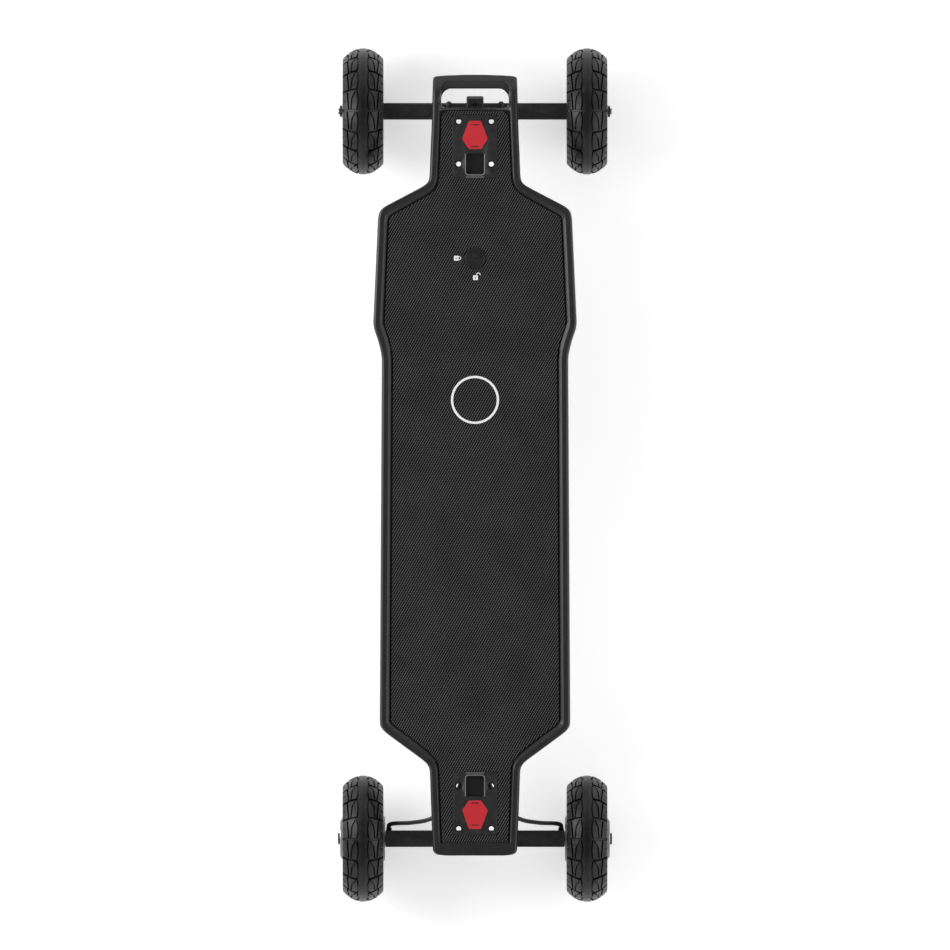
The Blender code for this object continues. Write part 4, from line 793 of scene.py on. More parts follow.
def build_top_plate(name, end):
    y0, y1 = sorted((end * PLATE_INNER_Y, end * PLATE_OUTER_Y))
    outline = rounded(PLATE_HALF_WIDTH, y0, y1, 0.003, 6)
    plate = slab(name + "_top_plate_visual", outline, PLATE_BASE_Z, PLATE_TOP_Z, "plate_aluminium")
    soften(plate, 0.0006, 3)
    w0, w1 = sorted(end * y for y in PLATE_WINDOW_Y)
    levels = (
        (0.0, 0.15), (0.0, PLATE_TOP_Z - 0.0012), (0.0002, PLATE_TOP_Z - 0.0008), (0.0012, PLATE_TOP_Z + 0.0001),
        (0.0012, 0.17),
    )
    outlines = []
    for out, z in levels:
        outlines.append((rounded(0.011 + out, w0 + 0.0008 - out, w1 - 0.0008 + out, 0.0025 + out, 6), z))
    tools = [hole(x, y, 0.0031, 0.15, 0.17, ((PLATE_TOP_Z, 0.0017, 1),)) for x, y in bolt_places(end)]
    subtract(plate, stacked("window_cutter", outlines), *tools)
    shade(plate.data, 35)
    finish(plate, "deck")
    bead = window_highlight_bead(name, end)
    screws = []
    for x, y in PLATE_SCREWS:
        screws.append(place(socket_screw(0.0022, PLATE_TOP_Z - 0.0004, PLATE_TOP_Z + 0.0006), at(x, end * y)))
    finish(join(name + "_plate_screws", screws), "deck")
    finish(bead, "deck", "plate_aluminium")
    build_badge(name, end)


def window_highlight_bead(name, end):
    """The thin raised line round three sides of a plate's window, and the short one beyond it.

    Both are pale grey, a painted highlight along the window's edges.
    """
    inner, outer, half, corner = 0.3792, 0.4062, 0.0122, 0.004
    line = [(-half, outer)]
    for step in range(9):
        angle = step / 8 * math.pi / 2
        line.append((-half + corner - corner * math.cos(angle), inner + corner - corner * math.sin(angle)))
    line += [(-x, y) for x, y in reversed(line)]
    base = PLATE_TOP_Z - 0.0002
    # Painted highlight: pale lines where the window's edges catch the light
    long = ribbon("long", [(x, end * y) for x, y in line], 0.001, base, PLATE_TOP_Z + 0.0003, "painted_highlight_grey")
    ends = [(x, end * 0.3766) for x in (-0.0118, 0.0118)]
    short = ribbon("short", ends, 0.0008, base, PLATE_TOP_Z + 0.0002, "painted_highlight_grey")
    return join(name + "_window_highlight_bead", [long, short])


def build_badge(name, end):
    """A plain red six-sided plate with a short dark bar at each end."""
    if end > 0:
        front, wide, rear = 0.4477, 0.4247, 0.4119
        bar_places = (front - 0.005, rear + 0.0032)
    else:
        front, wide, rear = -0.4112, -0.4237, -0.4475
        bar_places = (front - 0.0034, rear + 0.005)
    outline = ((0.0076, front), (-0.0076, front), (-0.0163, wide), (-0.0076, rear), (0.0076, rear), (0.0163, wide))
    lift = PLATE_TOP_Z + 0.0005
    badge = slab(name + "_badge", soft_corners(outline, 0.0016), PLATE_TOP_Z - 0.0002, lift, "badge_red")
    pieces = [soften(badge, 0.0003, 2, 50)]
    for y in bar_places:
        outline = rounded(0.0053, y - 0.0006, y + 0.0006, 0.0005, 4)
        pieces.append(slab("bar", outline, lift - 0.0001, lift + 0.0002, "black_plastic"))
    finish(join(name + "_badge", pieces), "deck")


def soft_corners(outline, reach, steps=5):
    """Rounds each corner of a straight-sided outline."""
    points = [Vector(point) for point in outline]
    found = []
    for i, corner in enumerate(points):
        before = corner + (points[i - 1] - corner).normalized() * reach
        after = corner + (points[(i + 1) % len(points)] - corner).normalized() * reach
        found += [tuple(point) for point in bend(before, corner, after, steps)]
    return found


def build_lock():
    """The ring set in the mat, and the knob that turns in it."""
    z = mat_top(LOCK_Y)
    base = z - MAT_THICKNESS + 0.0003
    lip = z + 0.0011
    profile = (
        (0.0104, base), (0.0126, base), (0.0126, lip - 0.0005), (0.0125, lip - 0.0002), (0.0122, lip), (
            0.0108, lip
        ),
        (0.0105, lip - 0.0003), (0.0104, lip - 0.0009),
    )
    bezel = turned("lock_bezel_visual", profile, "knob_black", 72)
    finish(place(bezel, at(0, LOCK_Y)), "deck", "black_plastic")
    face = z + 0.0008
    profile = (
        (0, base), (0.01, base), (0.01, face - 0.0006), (0.0097, face - 0.0001), (0.0092, face), (0.0074, face),
        (0.0071, face - 0.0003), (0.0068, face), (0, face),
    )
    knob = turned("lock_knob_visual", profile, "knob_black", 72)
    slot = slab("knob_slot", rounded(0.0048, -0.0008, 0.0008, 0.0007, 5), face - 0.0011, face + 0.001)
    mark = slab("knob_mark", rounded(0.0006, 0.0052, 0.0064, 0.0005, 5), face - 0.0005, face + 0.001)
    subtract(knob, slot, mark)
    finish(place(knob, at(0, LOCK_Y)), "battery_lock", "black_steel")


def padlock(name, opened):
    """A padlock outline about the origin, with its shackle along +Y."""
    body = slab("body", rounded(0.0031, -0.004, 0.002, 0.0009, 4), 0, 0.0006, "white_print")
    keyhole = hole(0, -0.0008, 0.0008, -0.001, 0.002)
    slit = block("slit", (-0.0004, -0.0026, -0.001), (0.0004, -0.0008, 0.002))
    subtract(body, keyhole, slit)
    radius, lift, aside = (0.0024, 0.0026, 0.0036) if opened else (0.002, 0.0026, 0.0)
    turns = [math.pi * k / 10 for k in range(11)]
    arc = [(aside + radius * math.cos(turn), lift + radius * math.sin(turn)) for turn in turns]
    legs = [(aside + radius, 0.0022 if opened else 0.0016)] + arc + [(aside - radius, 0.0016)]
    shackle = ribbon("shackle", legs, 0.0009, 0.0, 0.0006, "white_print")
    return join(name, [body, shackle])


def build_prints():
    """The plain ring and the two padlock signs on the mat."""
    z = mat_top(RING_Y) + RIB_RISE
    profile = (
        (0.0275, z - 0.0006), (0.0304, z - 0.0006), (0.0304, z + 0.0001), (0.0302, z + 0.0003), (
            0.0277, z + 0.0003
        ),
        (0.0275, z + 0.0001),
    )
    finish(place(turned("mat_ring", profile, "white_print", 128), at(0, RING_Y)), "deck")
    tilt = about("X", math.atan2(mat_top(0.285) - mat_top(0.245), 0.04))
    for name, x, y, angle, opened in (
        ("shut_sign", -0.0226, LOCK_Y, -90, False), ("open_sign", 0.0006, 0.2504, 0, True)
    ):
        lift = at(x, y, mat_top(y) + RIB_RISE - 0.0003)
        finish(place(padlock(name, opened), lift @ tilt @ about("Z", math.radians(angle))), "deck")


# ---------------- battery and controller


def build_tray():
    lower = rounded(0.0888, 0.007, 0.3087, 0.031, 10, 0.01)
    middle = rounded(0.0925, 0.0022, 0.3132, 0.033, 10, 0.0115)
    upper = rounded(0.094, 0.001, 0.3147, 0.034, 10, 0.012)
    tray = stacked("battery_tray_visual", ((lower, 0.126), (middle, 0.13), (upper, 0.1346)), "deck_composite")
    soften(tray, 0.0008, 2, 45)
    ledge = side_plate("ledge", ((0.0014, 0.133), (0.0088, 0.1178), (0.0255, 0.1178), (0.0255, 0.133)), 0.085)
    fins = []
    for _, side in SIDES:
        outline = ((0.3352, 0.1344), (0.325, 0.125), (0.315, 0.1168), (0.306, 0.1105), (0.306, 0.1344))
        fins.append(place(side_plate("fin", outline, 0.0061), at(side * 0.0249, 0)))
    for tool in [ledge] + fins:
        soften(tool, 0.0008, 2)
    unite(tray, ledge, *fins)
    hollow = slab("tray_hollow", rounded(0.0862, 0.0095, 0.3055, 0.028, 10, 0.006), 0.1198, 0.15)
    subtract(tray, hollow, slab("tray_finger", finger_outline(), 0.11, 0.15))
    finish(one_material(tray), "deck")
    for name, side in SIDES:
        turns = [k * math.pi / 16 for k in range(9)]
        quarter = [(0.0, 0.0)] + [(0.0105 * math.cos(turn), 0.014 * math.sin(turn)) for turn in turns]
        outline = [(side * (0.031 + x), 0.317 + y) for x, y in quarter]
        pad = slab(name + "_tray_pad", outline, 0.1334, 0.1352, "pad_red")
        finish(soften(pad, 0.0004, 2), "deck")


def battery_outline(inset):
    return rounded(0.0848 - inset, 0.029 + inset, 0.304 - inset, 0.027 - inset, 10)


def build_battery():
    rim = 0.1377
    flat = rounded(0.0735, 0.0417, 0.29, 0.017, 10)
    levels = ((flat, 0.0925), (battery_outline(0), 0.118), (battery_outline(0), rim))
    case = stacked("battery_case_visual", levels, "battery_plastic")
    soften(case, 0.0022, 4, 15)
    hollow = (
        (rounded(0.0705, 0.045, 0.2865, 0.01, 10), 0.0955), (battery_outline(0.0032), 0.119),
        (battery_outline(0.0032), 0.15),
    )
    subtract(case, stacked("case_hollow", hollow))
    for x in (-0.05, 0.05):
        turns = [math.pi * k / 12 for k in range(13)]
        rear = [(0.016 - 0.0035 * math.sin(turn), 0.124 + 0.0035 * math.cos(turn)) for turn in turns]
        lug = side_plate("lug", rear + [(0.031, 0.124), (0.031, 0.1275)], 0.012)
        unite(case, place(lug, at(x, 0)))
    seams = []
    for x in (-0.03, 0.0, 0.03):
        seams.append(block("rib_groove", (x - 0.0007, 0.05, 0.0915), (x + 0.0007, 0.282, 0.093)))
    subtract(case, *seams)
    finish(one_material(case), "battery")
    lid = slab("battery_lid_visual", battery_outline(0.0005), 0.138, 0.141, "black_plastic")
    soften(lid, 0.0006, 2)
    subtract(lid, slab("key_slot", rounded(0.0045, LOCK_Y - 0.0125, LOCK_Y + 0.0125, 0.0015, 5), 0.13, 0.15))
    finish(lid, "battery")


def build_controller():
    under = 0.1346
    flat = rounded(0.08, -0.294, -0.135, 0.01, 10)
    foot = rounded(0.0885, -0.3025, -0.1265, 0.016, 10)
    cover = stacked("controller_cover_visual", ((flat, 0.1178), (foot, under)), "deck_composite")
    soften(cover, 0.0012, 3, 20)
    hollow = block("cover_hollow", (-0.076, -0.286, 0.1203), (0.076, -0.137, 0.15))
    button = hole(-0.031, -0.264, 0.009, 0.11, 0.13, ((0.1178, 0.0008, -1),))
    light = slab("light_slot", rounded(0.0036, -0.265, -0.263, 0.0009, 5), 0.11, 0.1186)
    place(light, at(0.0198, 0))
    grooves = [
        block("groove", (-0.06, y - 0.0006, 0.117), (0.06, y + 0.0006, 0.1184)) for y in (-0.15, -0.156, -0.162)
    ]
    subtract(cover, hollow, button, light, *grooves)
    finish(cover, "deck")
    lens = slab("status_light", rounded(0.0034, -0.26485, -0.26315, 0.0008, 5), 0.1182, 0.119, "white_print")
    finish(place(lens, at(0.0198, 0)), "deck")
    profile = (
        (0, 0.1156), (0.006, 0.1155), (0.007, 0.1153), (0.0078, 0.1152), (0.0085, 0.1155), (0.0087, 0.1161),
        (0.0087, 0.124), (0, 0.124),
    )
    cap = turned("power_button_visual", profile, "black_plastic", 56)
    finish(place(cap, at(-0.031, -0.264)), "power_switch")
    corners = [(x, y) for x in (-0.072, 0.072) for y in (-0.143, -0.286)]
    build_screws("controller_screws", 0.0012, corners, 0.1182)


# ---------------- trucks


def kingpin_frame(foot, end):
    """The matrix of a kingpin: local Z runs up along it from the underside of its nut."""
    return at(0, end * foot[0], foot[1]) @ about("X", end * KINGPIN_TILT)


def steer_frame(foot, end):
    centre = kingpin_frame(foot, end) @ Vector((0, 0, 0.021))
    return Matrix.Translation(centre) @ about("X", -end * (math.pi / 2 - STEER_TILT))


def mirror_outline(outline, end):
    return [(end * y, z) for y, z in outline]


def ring_tool(foot, end, mouth):
    """The room round a kingpin inside a truck's ring: the nut's mouth, the bushing's pocket and the bore."""
    profile = ((0, -0.02), (mouth, -0.02), (mouth, 0.0128), (0.0143, 0.0128), (0.0143, 0.0175), (0.0068, 0.0175))
    cutter = turned("ring_cutter", profile + ((0.0068, 0.03), (0, 0.03)), None, 46)
    return place(cutter, kingpin_frame(foot, end))


def build_kingpin(name, foot, end, top, body):
    """The bolt with its cupped washer and hexagon nut."""
    profile = (
        (0, -0.0022), (0.003, -0.0022), (0.004, -0.0014), (0.004, -0.0002), (0.0044, 0.0002), (0.0048, 0.0084),
        (0.0048, top - 0.0008), (0.004, top), (0, top),
    )
    bolt = turned(name + "_visual", profile, "black_steel", 40)
    profile = (
        (0.004, 0.0062), (0.0086, 0.0062), (0.0112, 0.0067), (0.0117, 0.0071), (0.0118, 0.0078), (0.0116, 0.0084),
        (0.0111, 0.0085), (0.004, 0.0085),
    )
    unite(bolt, nut("nut", 0.0074, 0.0006, 0.0062), turned("washer", profile, "black_steel", 64))
    place(bolt, kingpin_frame(foot, end))
    shade(bolt.data, 30)
    finish(bolt, body)


def build_bushing(name, foot, end, seat, ring):
    """A rubber bushing between its seat, which stands still, and the truck's ring, which tilts and squeezes it."""
    bottom, top = sorted((seat, ring))
    bores = (0.0051, 0.0068) if seat < ring else (0.0068, 0.0051)
    mid = (bottom + top) / 2
    profile = (
        (bores[0], bottom), (0.0108, bottom), (0.0117, bottom + 0.0005), (0.0121, bottom + 0.0012),
        (0.0126, mid - 0.0024), (0.0128, mid - 0.0012), (0.013, mid), (0.0128, mid + 0.0012), (
            0.0126, mid + 0.0024
        ),
        (0.0121, top - 0.0012), (0.0117, top - 0.0005), (0.0108, top), (bores[1], top), (0.0068, mid),
    )
    along = kingpin_frame(foot, end)
    bushing = place(turned(name + "_visual", profile, "bushing_rubber", 56), along)
    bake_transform(bushing)
    finish(bushing, slot="bushing_rubber")


def build_baseplate(name, end):
    along = kingpin_frame(INNER_FOOT, end)
    y0, y1 = sorted((end * 0.3765, end * 0.459))
    outline = rounded(0.0285, y0, y1, 0.005, 8)
    plate = soften(slab(name + "_baseplate_visual", outline, BASEPLATE_Z, 0.144, "black_cast_metal"), 0.001, 3)
    seat = cylinder("seat", along, 0.0145, 0.034, 0.0395, None, 48, 0.0008)
    outline = ((0.419, 0.1275), (0.4345, 0.1275), (0.4345, 0.14), (0.419, 0.14))
    boss = soften(side_plate("boss", mirror_outline(outline, end), 0.01), 0.0015, 3)
    ribs = []
    for _, side in SIDES:
        outline = ((0.385, 0.1402), (0.402, 0.136), (0.418, 0.136), (0.45, 0.1402))
        rib = soften(side_plate("rib", mirror_outline(outline, end), 0.0016), 0.0006, 2)
        ribs.append(place(rib, at(side * 0.015, 0)))
    unite(plate, seat, boss, *ribs)
    tools = [cylinder("kingpin_bore", along, 0.0051, 0.03, 0.043, None, 34)]
    tools.append(cylinder("pin_bore", steer_frame(INNER_FOOT, end), 0.0055, 0.01, 0.031, None, 34))
    tools += [hole(x, y, 0.0032, 0.12, 0.16, ((BASEPLATE_Z, 0.0006, -1),)) for x, y in bolt_places(end)]
    subtract(plate, *tools)
    finish(one_finish(plate), "deck")
    build_screws(name + "_base_screws", 0.0014, [(x, end * y) for x, y in PLATE_SCREWS], BASEPLATE_Z + 0.0003)


def build_screws(name, height, places, z):
    """Screw heads on an underside."""
    screws = [place(socket_screw(0.003, 0, height), at(x, y, z) @ about("X", math.pi)) for x, y in places]
    finish(join(name, screws), "deck")


def one_material(obj):
    for polygon in obj.data.polygons:
        polygon.material_index = 0
    return obj


def one_finish(obj):
    shade(one_material(obj).data, 32)
    return obj


def build_arm(name, end):
    inner, outer = kingpin_frame(INNER_FOOT, end), kingpin_frame(OUTER_FOOT, end)
    arm = cylinder(name + "_arm_visual", inner, 0.0172, 0.0125, 0.0245, "black_cast_metal", 64, 0.001)
    link_outline = (
        (0.406, 0.113), (0.422, 0.1125), (0.4465, 0.1192), (0.464, 0.1192), (0.464, 0.1255), (0.445, 0.1257),
        (0.424, 0.1236), (0.406, 0.1226),
    )
    block_outline = (
        (0.459, 0.1085), (0.472, 0.1085), (0.4795, 0.114), (0.4795, 0.1215), (0.476, 0.1262), (0.459, 0.1262),
    )
    link_bar = soften(side_plate("link", mirror_outline(link_outline, end), 0.0095), 0.0016, 3)
    pivot = soften(side_plate("pivot", mirror_outline(block_outline, end), 0.0108), 0.0018, 3)
    seat = cylinder("seat", outer, 0.0134, 0.034, 0.043, None, 50, 0.0008)
    pin = cylinder("pin", steer_frame(INNER_FOOT, end), 0.005, 0.015, 0.03, None, 32, 0.001)
    unite(arm, link_bar, pivot, seat, pin)
    bore = cylinder("outer_bore", outer, 0.0051, 0.025, 0.0412, None, 34)
    cup = cylinder("cup_bore", steer_frame(OUTER_FOOT, end), 0.0076, 0.015, 0.0412, None, 38)
    subtract(arm, ring_tool(INNER_FOOT, end, 0.0146), bore, cup)
    finish(one_finish(arm), name + "_arm_link")


def build_hanger(name, end):
    outer = kingpin_frame(OUTER_FOOT, end)
    half_y, half_z = 0.0105, 0.01
    square = ((half_y, -half_z), (half_y, half_z), (-half_y, half_z), (-half_y, -half_z))
    outline = [(end * AXLE_Y + y, AXLE_Z + z) for y, z in soft_corners(square, 0.0018, 5)]
    bar_reach = 0.1172 if end > 0 else 0.1135
    hanger = side_plate(name + "_hanger_visual", outline, bar_reach, "black_cast_metal")
    even_normals(soften(hanger, 0.0004, 2, 60))
    ring = cylinder("ring", outer, 0.0175, 0.0125, 0.0245, None, 64, 0.0012)
    web_outline = (
        (0.443, 0.093), (0.447, 0.083), (0.47, 0.083), (0.464, 0.098), (0.456, 0.106), (0.452, 0.106),
    )
    web = soften(side_plate("web", mirror_outline(web_outline, end), 0.008), 0.0012, 3)
    pin = cylinder("pin", steer_frame(OUTER_FOOT, end), 0.005, 0.015, 0.0385, None, 32, 0.001)
    bosses = []
    for _, side in SIDES:
        spot = at(side * 0.033, end * 0.4692)
        bosses.append(cylinder("boss", spot, 0.004, 0.0765, 0.0925, None, 40, 0.0009))
    unite(hanger, ring, web, pin, *bosses)
    bore = on_axle(cylinder("axle_bore", at(0, 0), 0.0043, -0.13, 0.13, None, 36), end, 1)
    subtract(hanger, ring_tool(OUTER_FOOT, end, 0.0166), bore)
    finish(one_finish(hanger), name + "_axle_carrier")
    collars = []
    start = bar_reach + 0.0001
    tip = start + (0.002 if end > 0 else 0.0003)
    profile = ((0.0043, start), (0.0092, start), (0.0088, tip), (0.0043, tip))
    for _, side in SIDES:
        collars.append(on_axle(turned("collar", profile, "black_steel", 48), end, side))
    finish(join(name + "_axle_collars", collars), name + "_axle_carrier")


def build_axle(name, end):
    """The axle, with turned threads at both ends."""
    tip, thread_start = 0.1735, 0.1655
    half = [(0.004, thread_start)]
    turns = 8
    pitch = (tip - 0.0008 - thread_start) / turns
    for turn in range(turns):
        z = thread_start + turn * pitch
        half += [(0.0036, z + pitch * 0.45), (0.004, z + pitch)]
    half += [(0.0033, tip), (0, tip)]
    profile = [(r, -z) for r, z in reversed(half)] + half
    axle = turned(name + "_axle_visual", profile, "bright_steel", 36)
    finish(on_axle(axle, end, 1), name + "_axle_carrier")


def build_axle_nut(name, end, side, inner):
    body = nut(name + "_visual", 0.0076, inner + 0.0006, inner + 0.0032, 0.0043, 0.2)
    rise = inner + 0.001
    profile = ((0.0043, inner), (0.0078, inner), (0.008, inner + 0.0004), (0.0074, rise), (0.0043, rise))
    unite(body, turned("flange", profile, "black_steel", 48))
    finish(on_axle(body, end, side), ("front" if end > 0 else "rear") + "_axle_carrier")


def build_truck(name, end):
    link, carrier = name + "_arm_link", name + "_axle_carrier"
    build_baseplate(name, end)
    build_arm(name, end)
    build_hanger(name, end)
    build_axle(name, end)
    for where, foot, top, bodies in (
        ("inner", INNER_FOOT, 0.0425, ("deck", link)), ("outer", OUTER_FOOT, 0.0409, (link, carrier))
    ):
        stem = name + "_" + where
        build_kingpin(stem + "_kingpin", foot, end, top, bodies[0])
        build_bushing(stem + "_lower_bushing", foot, end, 0.0088, 0.0172)
        build_bushing(stem + "_upper_bushing", foot, end, 0.0337, 0.0248)


# ---------------- wheels

HUB_MIDDLE = 0.14175
TREAD_PITCHES = 18
TREAD_HALF = 25.3
CROWN = np.array([
    (0.0, 80.0), (3.0, 79.9), (6.0, 79.4), (9.0, 78.6), (12.0, 77.4), (15.8, 75.3), (20.0, 72.2), (23.0, 69.5),
    (TREAD_HALF, 66.8),
])
SPOKES = 7
SCREW_TURNS = [about("Z", spoke * math.tau / SPOKES + 0.06) for spoke in range(SPOKES)]


def tread_columns(t, raised):
    """The points across half a tread at a share t of its pitch: (distance from the middle, depth), in millimetres.

    raised is 0 in the cross grooves and 1 on the blocks between them.
    """
    rib = 7.8 - 1.9 * math.sin(math.pi * t)
    sipe = 15.3 - 2.6 * t if t < 0.62 else 13.69 - 14.5 * (t - 0.62)
    sipe = max(sipe, rib + 2.4)
    edge = 17.8 + 2.1 * t
    cross = 0.0 if raised else 3.0
    inner, outer = max(cross, 2.6), max(cross, 2.3)
    cut = max(cross, 2.0 if 0.12 < t < 0.88 else 0.0)
    columns = [
        (0.0, 0.0), ((rib - 1.3) * 0.5, 0.0), (rib - 1.3, 0.0), (rib - 0.9, inner), (rib + 0.7, inner), (
            rib + 1.0, cross
        ),
        ((rib + 1.0 + sipe - 0.9) / 2, cross), (sipe - 0.9, cross), (sipe - 0.6, cut), (sipe + 0.6, cut),
        (sipe + 0.9, cross), ((sipe + 0.9 + edge - 1.0) / 2, cross), (edge - 1.0, cross), (edge - 0.7, outer),
        (edge + 0.7, outer), (edge + 1.0, cross),
    ]
    notch = max(cross, 1.3 if 0.46 < t < 0.56 else 0.0)
    for step in range(1, 5):
        w = edge + 1.0 + (TREAD_HALF - edge - 1.0) * step / 5
        columns.append((w, notch if w > 22.6 else cross))
    return columns + [(TREAD_HALF, max(cross * 0.75, notch * 0.8))]


def tread_shares():
    """The shares of one pitch that get a ring of points, and whether each is on a block."""
    groove, wall = 0.052, 0.012
    shares = [(0.0, 0), (groove, 0), (groove + wall, 1)]
    shares += [(groove + wall + (1 - 2 * (groove + wall)) * k / 14, 1) for k in range(1, 14)]
    return shares + [(1 - groove - wall, 1), (1 - groove, 0)]


def crown_point(w, depth):
    """A point of the tread's section, sunk along the section's normal."""
    before, radius, after = np.interp((w - 0.8, w, w + 0.8), CROWN[:, 0], CROWN[:, 1])
    slope = (after - before) / 1.6 if w >= 0.8 else 0.0
    length = math.hypot(1.0, slope)
    return w + depth * slope / length, radius - depth / length


def build_tyre(name, bead, end, side):
    """A tyre with a smooth middle rib, cut blocks on both sides of it and rounded shoulders. bead is in millimetres."""
    if end > 0:
        wall = [
            (25.7, 65.2), (25.75, 64.6), (25.45, 64.0), (25.75, 63.2), (25.7, 60.5), (25.2, 57.6), (24.4, 55.8),
            (23.2, 54.6), (21.9, 54.1), (20.4, bead), (10.0, bead),
        ]
    else:
        wall = [
            (25.7, 65.6), (25.75, 65.0), (25.5, 64.4), (25.7, 63.8), (25.2, 62.6), (24.2, 61.8), (22.8, bead),
            (11.0, bead),
        ]
    points = []
    for pitch in range(TREAD_PITCHES):
        for share, raised in tread_shares():
            t = share if side < 0 else 1 - share
            angle = (pitch + share) * math.tau / TREAD_PITCHES
            half = [crown_point(w, depth) for w, depth in tread_columns(t, raised)]
            section = [(-w, r) for w, r in reversed(half[1:] + wall)] + half + wall
            for w, r in section:
                points.append((r / 1000 * math.cos(angle), r / 1000 * math.sin(angle), WHEEL_MIDDLE_X + w / 1000))
    count = len(section)
    faces = []
    for start in range(0, len(points), count):
        following = (start + count) % len(points)
        for k in range(count):
            m = (k + 1) % count
            faces.append((start + k, following + k, following + m, start + m))
    mesh = bpy.data.meshes.new(name + "_tyre")
    mesh.from_pydata(points, [], faces)
    mesh.materials.append(MATERIALS["tyre_rubber"])
    mesh.validate()
    shade(mesh, 38)
    finish(on_axle(add_object(name + "_tyre_visual", mesh), end, side), name + "_wheel")


def spoke_windows():
    """Seven rounded windows between spokes of even width, as upright prisms about Z."""
    tools = []
    pitch, half = math.tau / SPOKES, 0.0038
    for spoke in range(SPOKES):
        middle = (spoke + 0.5) * pitch
        corners = []
        for radius, steps in ((0.0235, (-1, 0, 1)), (0.05, (1, 0.6, 0.2, -0.2, -0.6, -1))):
            reach = pitch / 2 - math.asin(half / radius)
            corners += [
                (radius * math.cos(middle + s * reach), radius * math.sin(middle + s * reach)) for s in steps
            ]
        tools.append(slab("spoke_window", soft_corners(corners, 0.0022, 4), 0.1, 0.2))
    return tools


def build_front_rim(name, side):
    faces = ((0.0114, 0.021), (0.015, 0.021), (0.0155, 0.0204), (0.0198, 0.0204), (0.0206, 0.0196))
    faces += ((0.0215, 0.012), (0.04, 0.012), (0.041, 0.009), (0.0502, 0.009))
    flange = (
        (0.0502, 0.12), (0.0508, 0.1192), (0.0528, 0.1192), (0.0534, 0.1198), (0.0534, 0.1637), (0.0528, 0.1643),
        (0.0508, 0.1643), (0.0502, 0.1635),
    )
    rim = turned(name + "_rim_visual", both_faces(faces, flange), "rim_black_and_painted_shade", 112)
    subtract(rim, *spoke_windows())
    # Inner spokes paler, all beyond darker: the rim's own black and painted shade on the sunken outer spokes
    rim.data.materials.append(MATERIALS["rim_grey"])
    for polygon in rim.data.polygons:
        reach = max(math.hypot(*rim.data.vertices[v].co.xy) for v in polygon.vertices)
        polygon.material_index = 1 if reach < 0.0403 else 0
    soften(rim, 0.0005, 2, 40)
    finish(on_axle(rim, 1, side), name + "_wheel", "rim_plastic")


def both_faces(faces, flange=()):
    """A front hub's profile: the inner face's points, what lies between, and the same points on the outer face."""
    inner, outer = [[(r, HUB_MIDDLE + way * h) for r, h in faces] for way in (-1, 1)]
    return inner + list(flange) + outer[::-1]


def build_bearing(name, side):
    """The hub's face with its raised rings, round the axle."""
    faces = (
        (0.0046, 0.0192), (0.0068, 0.0192), (0.0072, 0.0196), (0.0072, 0.02), (0.008, 0.0205), (0.009, 0.0205),
        (0.0094, 0.0201), (0.01, 0.0201), (0.0104, 0.0205), (0.011, 0.0205),
    )
    bearing = turned(name + "_bearing_visual", both_faces(faces), "bright_steel", 72)
    finish(on_axle(bearing, 1, side), name + "_wheel")


def build_front_wheel(name, side):
    build_front_rim(name, side)
    build_bearing(name, side)
    build_tyre(name, 53.8, 1, side)
    profile = (
        (0.0115, 0.1627), (0.0142, 0.1627), (0.0146, 0.1631), (0.0146, 0.1636), (0.0141, 0.1641), (0.0119, 0.1641),
        (0.0115, 0.1637),
    )
    cap = turned(name + "_hub_cap", profile, "rim_grey", 72)
    finish(on_axle(cap, 1, side), name + "_wheel", "rim_plastic")


def motor_pockets():
    """The pockets at the rim of a motor's cover, each open outwards, with a screw standing in it."""
    half = ((0.0466, 0.0042), (0.05, 0.0068), (0.064, 0.0072))
    outline = soft_corners([(0.0466, -0.0042)] + list(half) + [(x, -y) for x, y in half[:0:-1]], 0.0016, 3)
    return [place(slab("pocket", outline, 0.1649, 0.18), turn) for turn in SCREW_TURNS]


def build_motor(name, side):
    seam = 0.1625
    shell = (
        (0.0125, 0.114), (0.0262, 0.114), (0.0275, 0.1143), (0.029, 0.1156), (0.0306, 0.1164), (0.038, 0.1165),
        (0.0384, 0.1169), (0.0392, 0.1169), (0.0396, 0.1165), (0.0575, 0.1165), (0.0598, 0.1172), (0.061, 0.119),
        (0.061, seam), (0.051, seam), (0.051, 0.119), (0.0125, 0.119),
    )
    cover = (
        (0.0046, seam + GAP), (0.061, seam + GAP), (0.061, 0.1655), (0.0606, 0.1664), (0.0597, 0.1669),
        (0.045, 0.1671), (0.033, 0.1671), (0.0308, 0.1672), (0.0286, 0.1675), (0.0264, 0.1681), (0.0246, 0.169),
        (0.0235, 0.1699), (0.023, 0.1702), (0.0208, 0.1702), (0.011, 0.1702), (0.0104, 0.1696),
        (0.0104, 0.168), (0.0046, 0.168),
    )
    ring = (
        (0.0213, 0.1698), (0.0226, 0.1698), (0.0229, 0.1702), (0.0226, 0.1708), (0.0215, 0.1709), (0.0211, 0.1705),
    )
    shell = turned(name + "_motor_shell_visual", shell, "motor_aluminium", 96)
    cover = subtract(turned(name + "_motor_cover_visual", cover, "motor_aluminium", 112), *motor_pockets())
    shade(cover.data, 30)
    ring = turned(name + "_motor_ring", ring, "bright_steel", 112)
    for piece in (shell, cover, ring):
        finish(on_axle(piece, -1, side), name + "_wheel")
    screws = []
    for turn in SCREW_TURNS:
        screw = socket_screw(0.0048, 0.1648, 0.1668, "motor_aluminium", 0.0019)
        screws.append(on_axle(place(screw, turn @ at(0.0545, 0)), -1, side))
    finish(join(name + "_motor_screws", screws), name + "_wheel")
    build_tyre(name, 61.3, -1, side)


# ---------------- motor cables

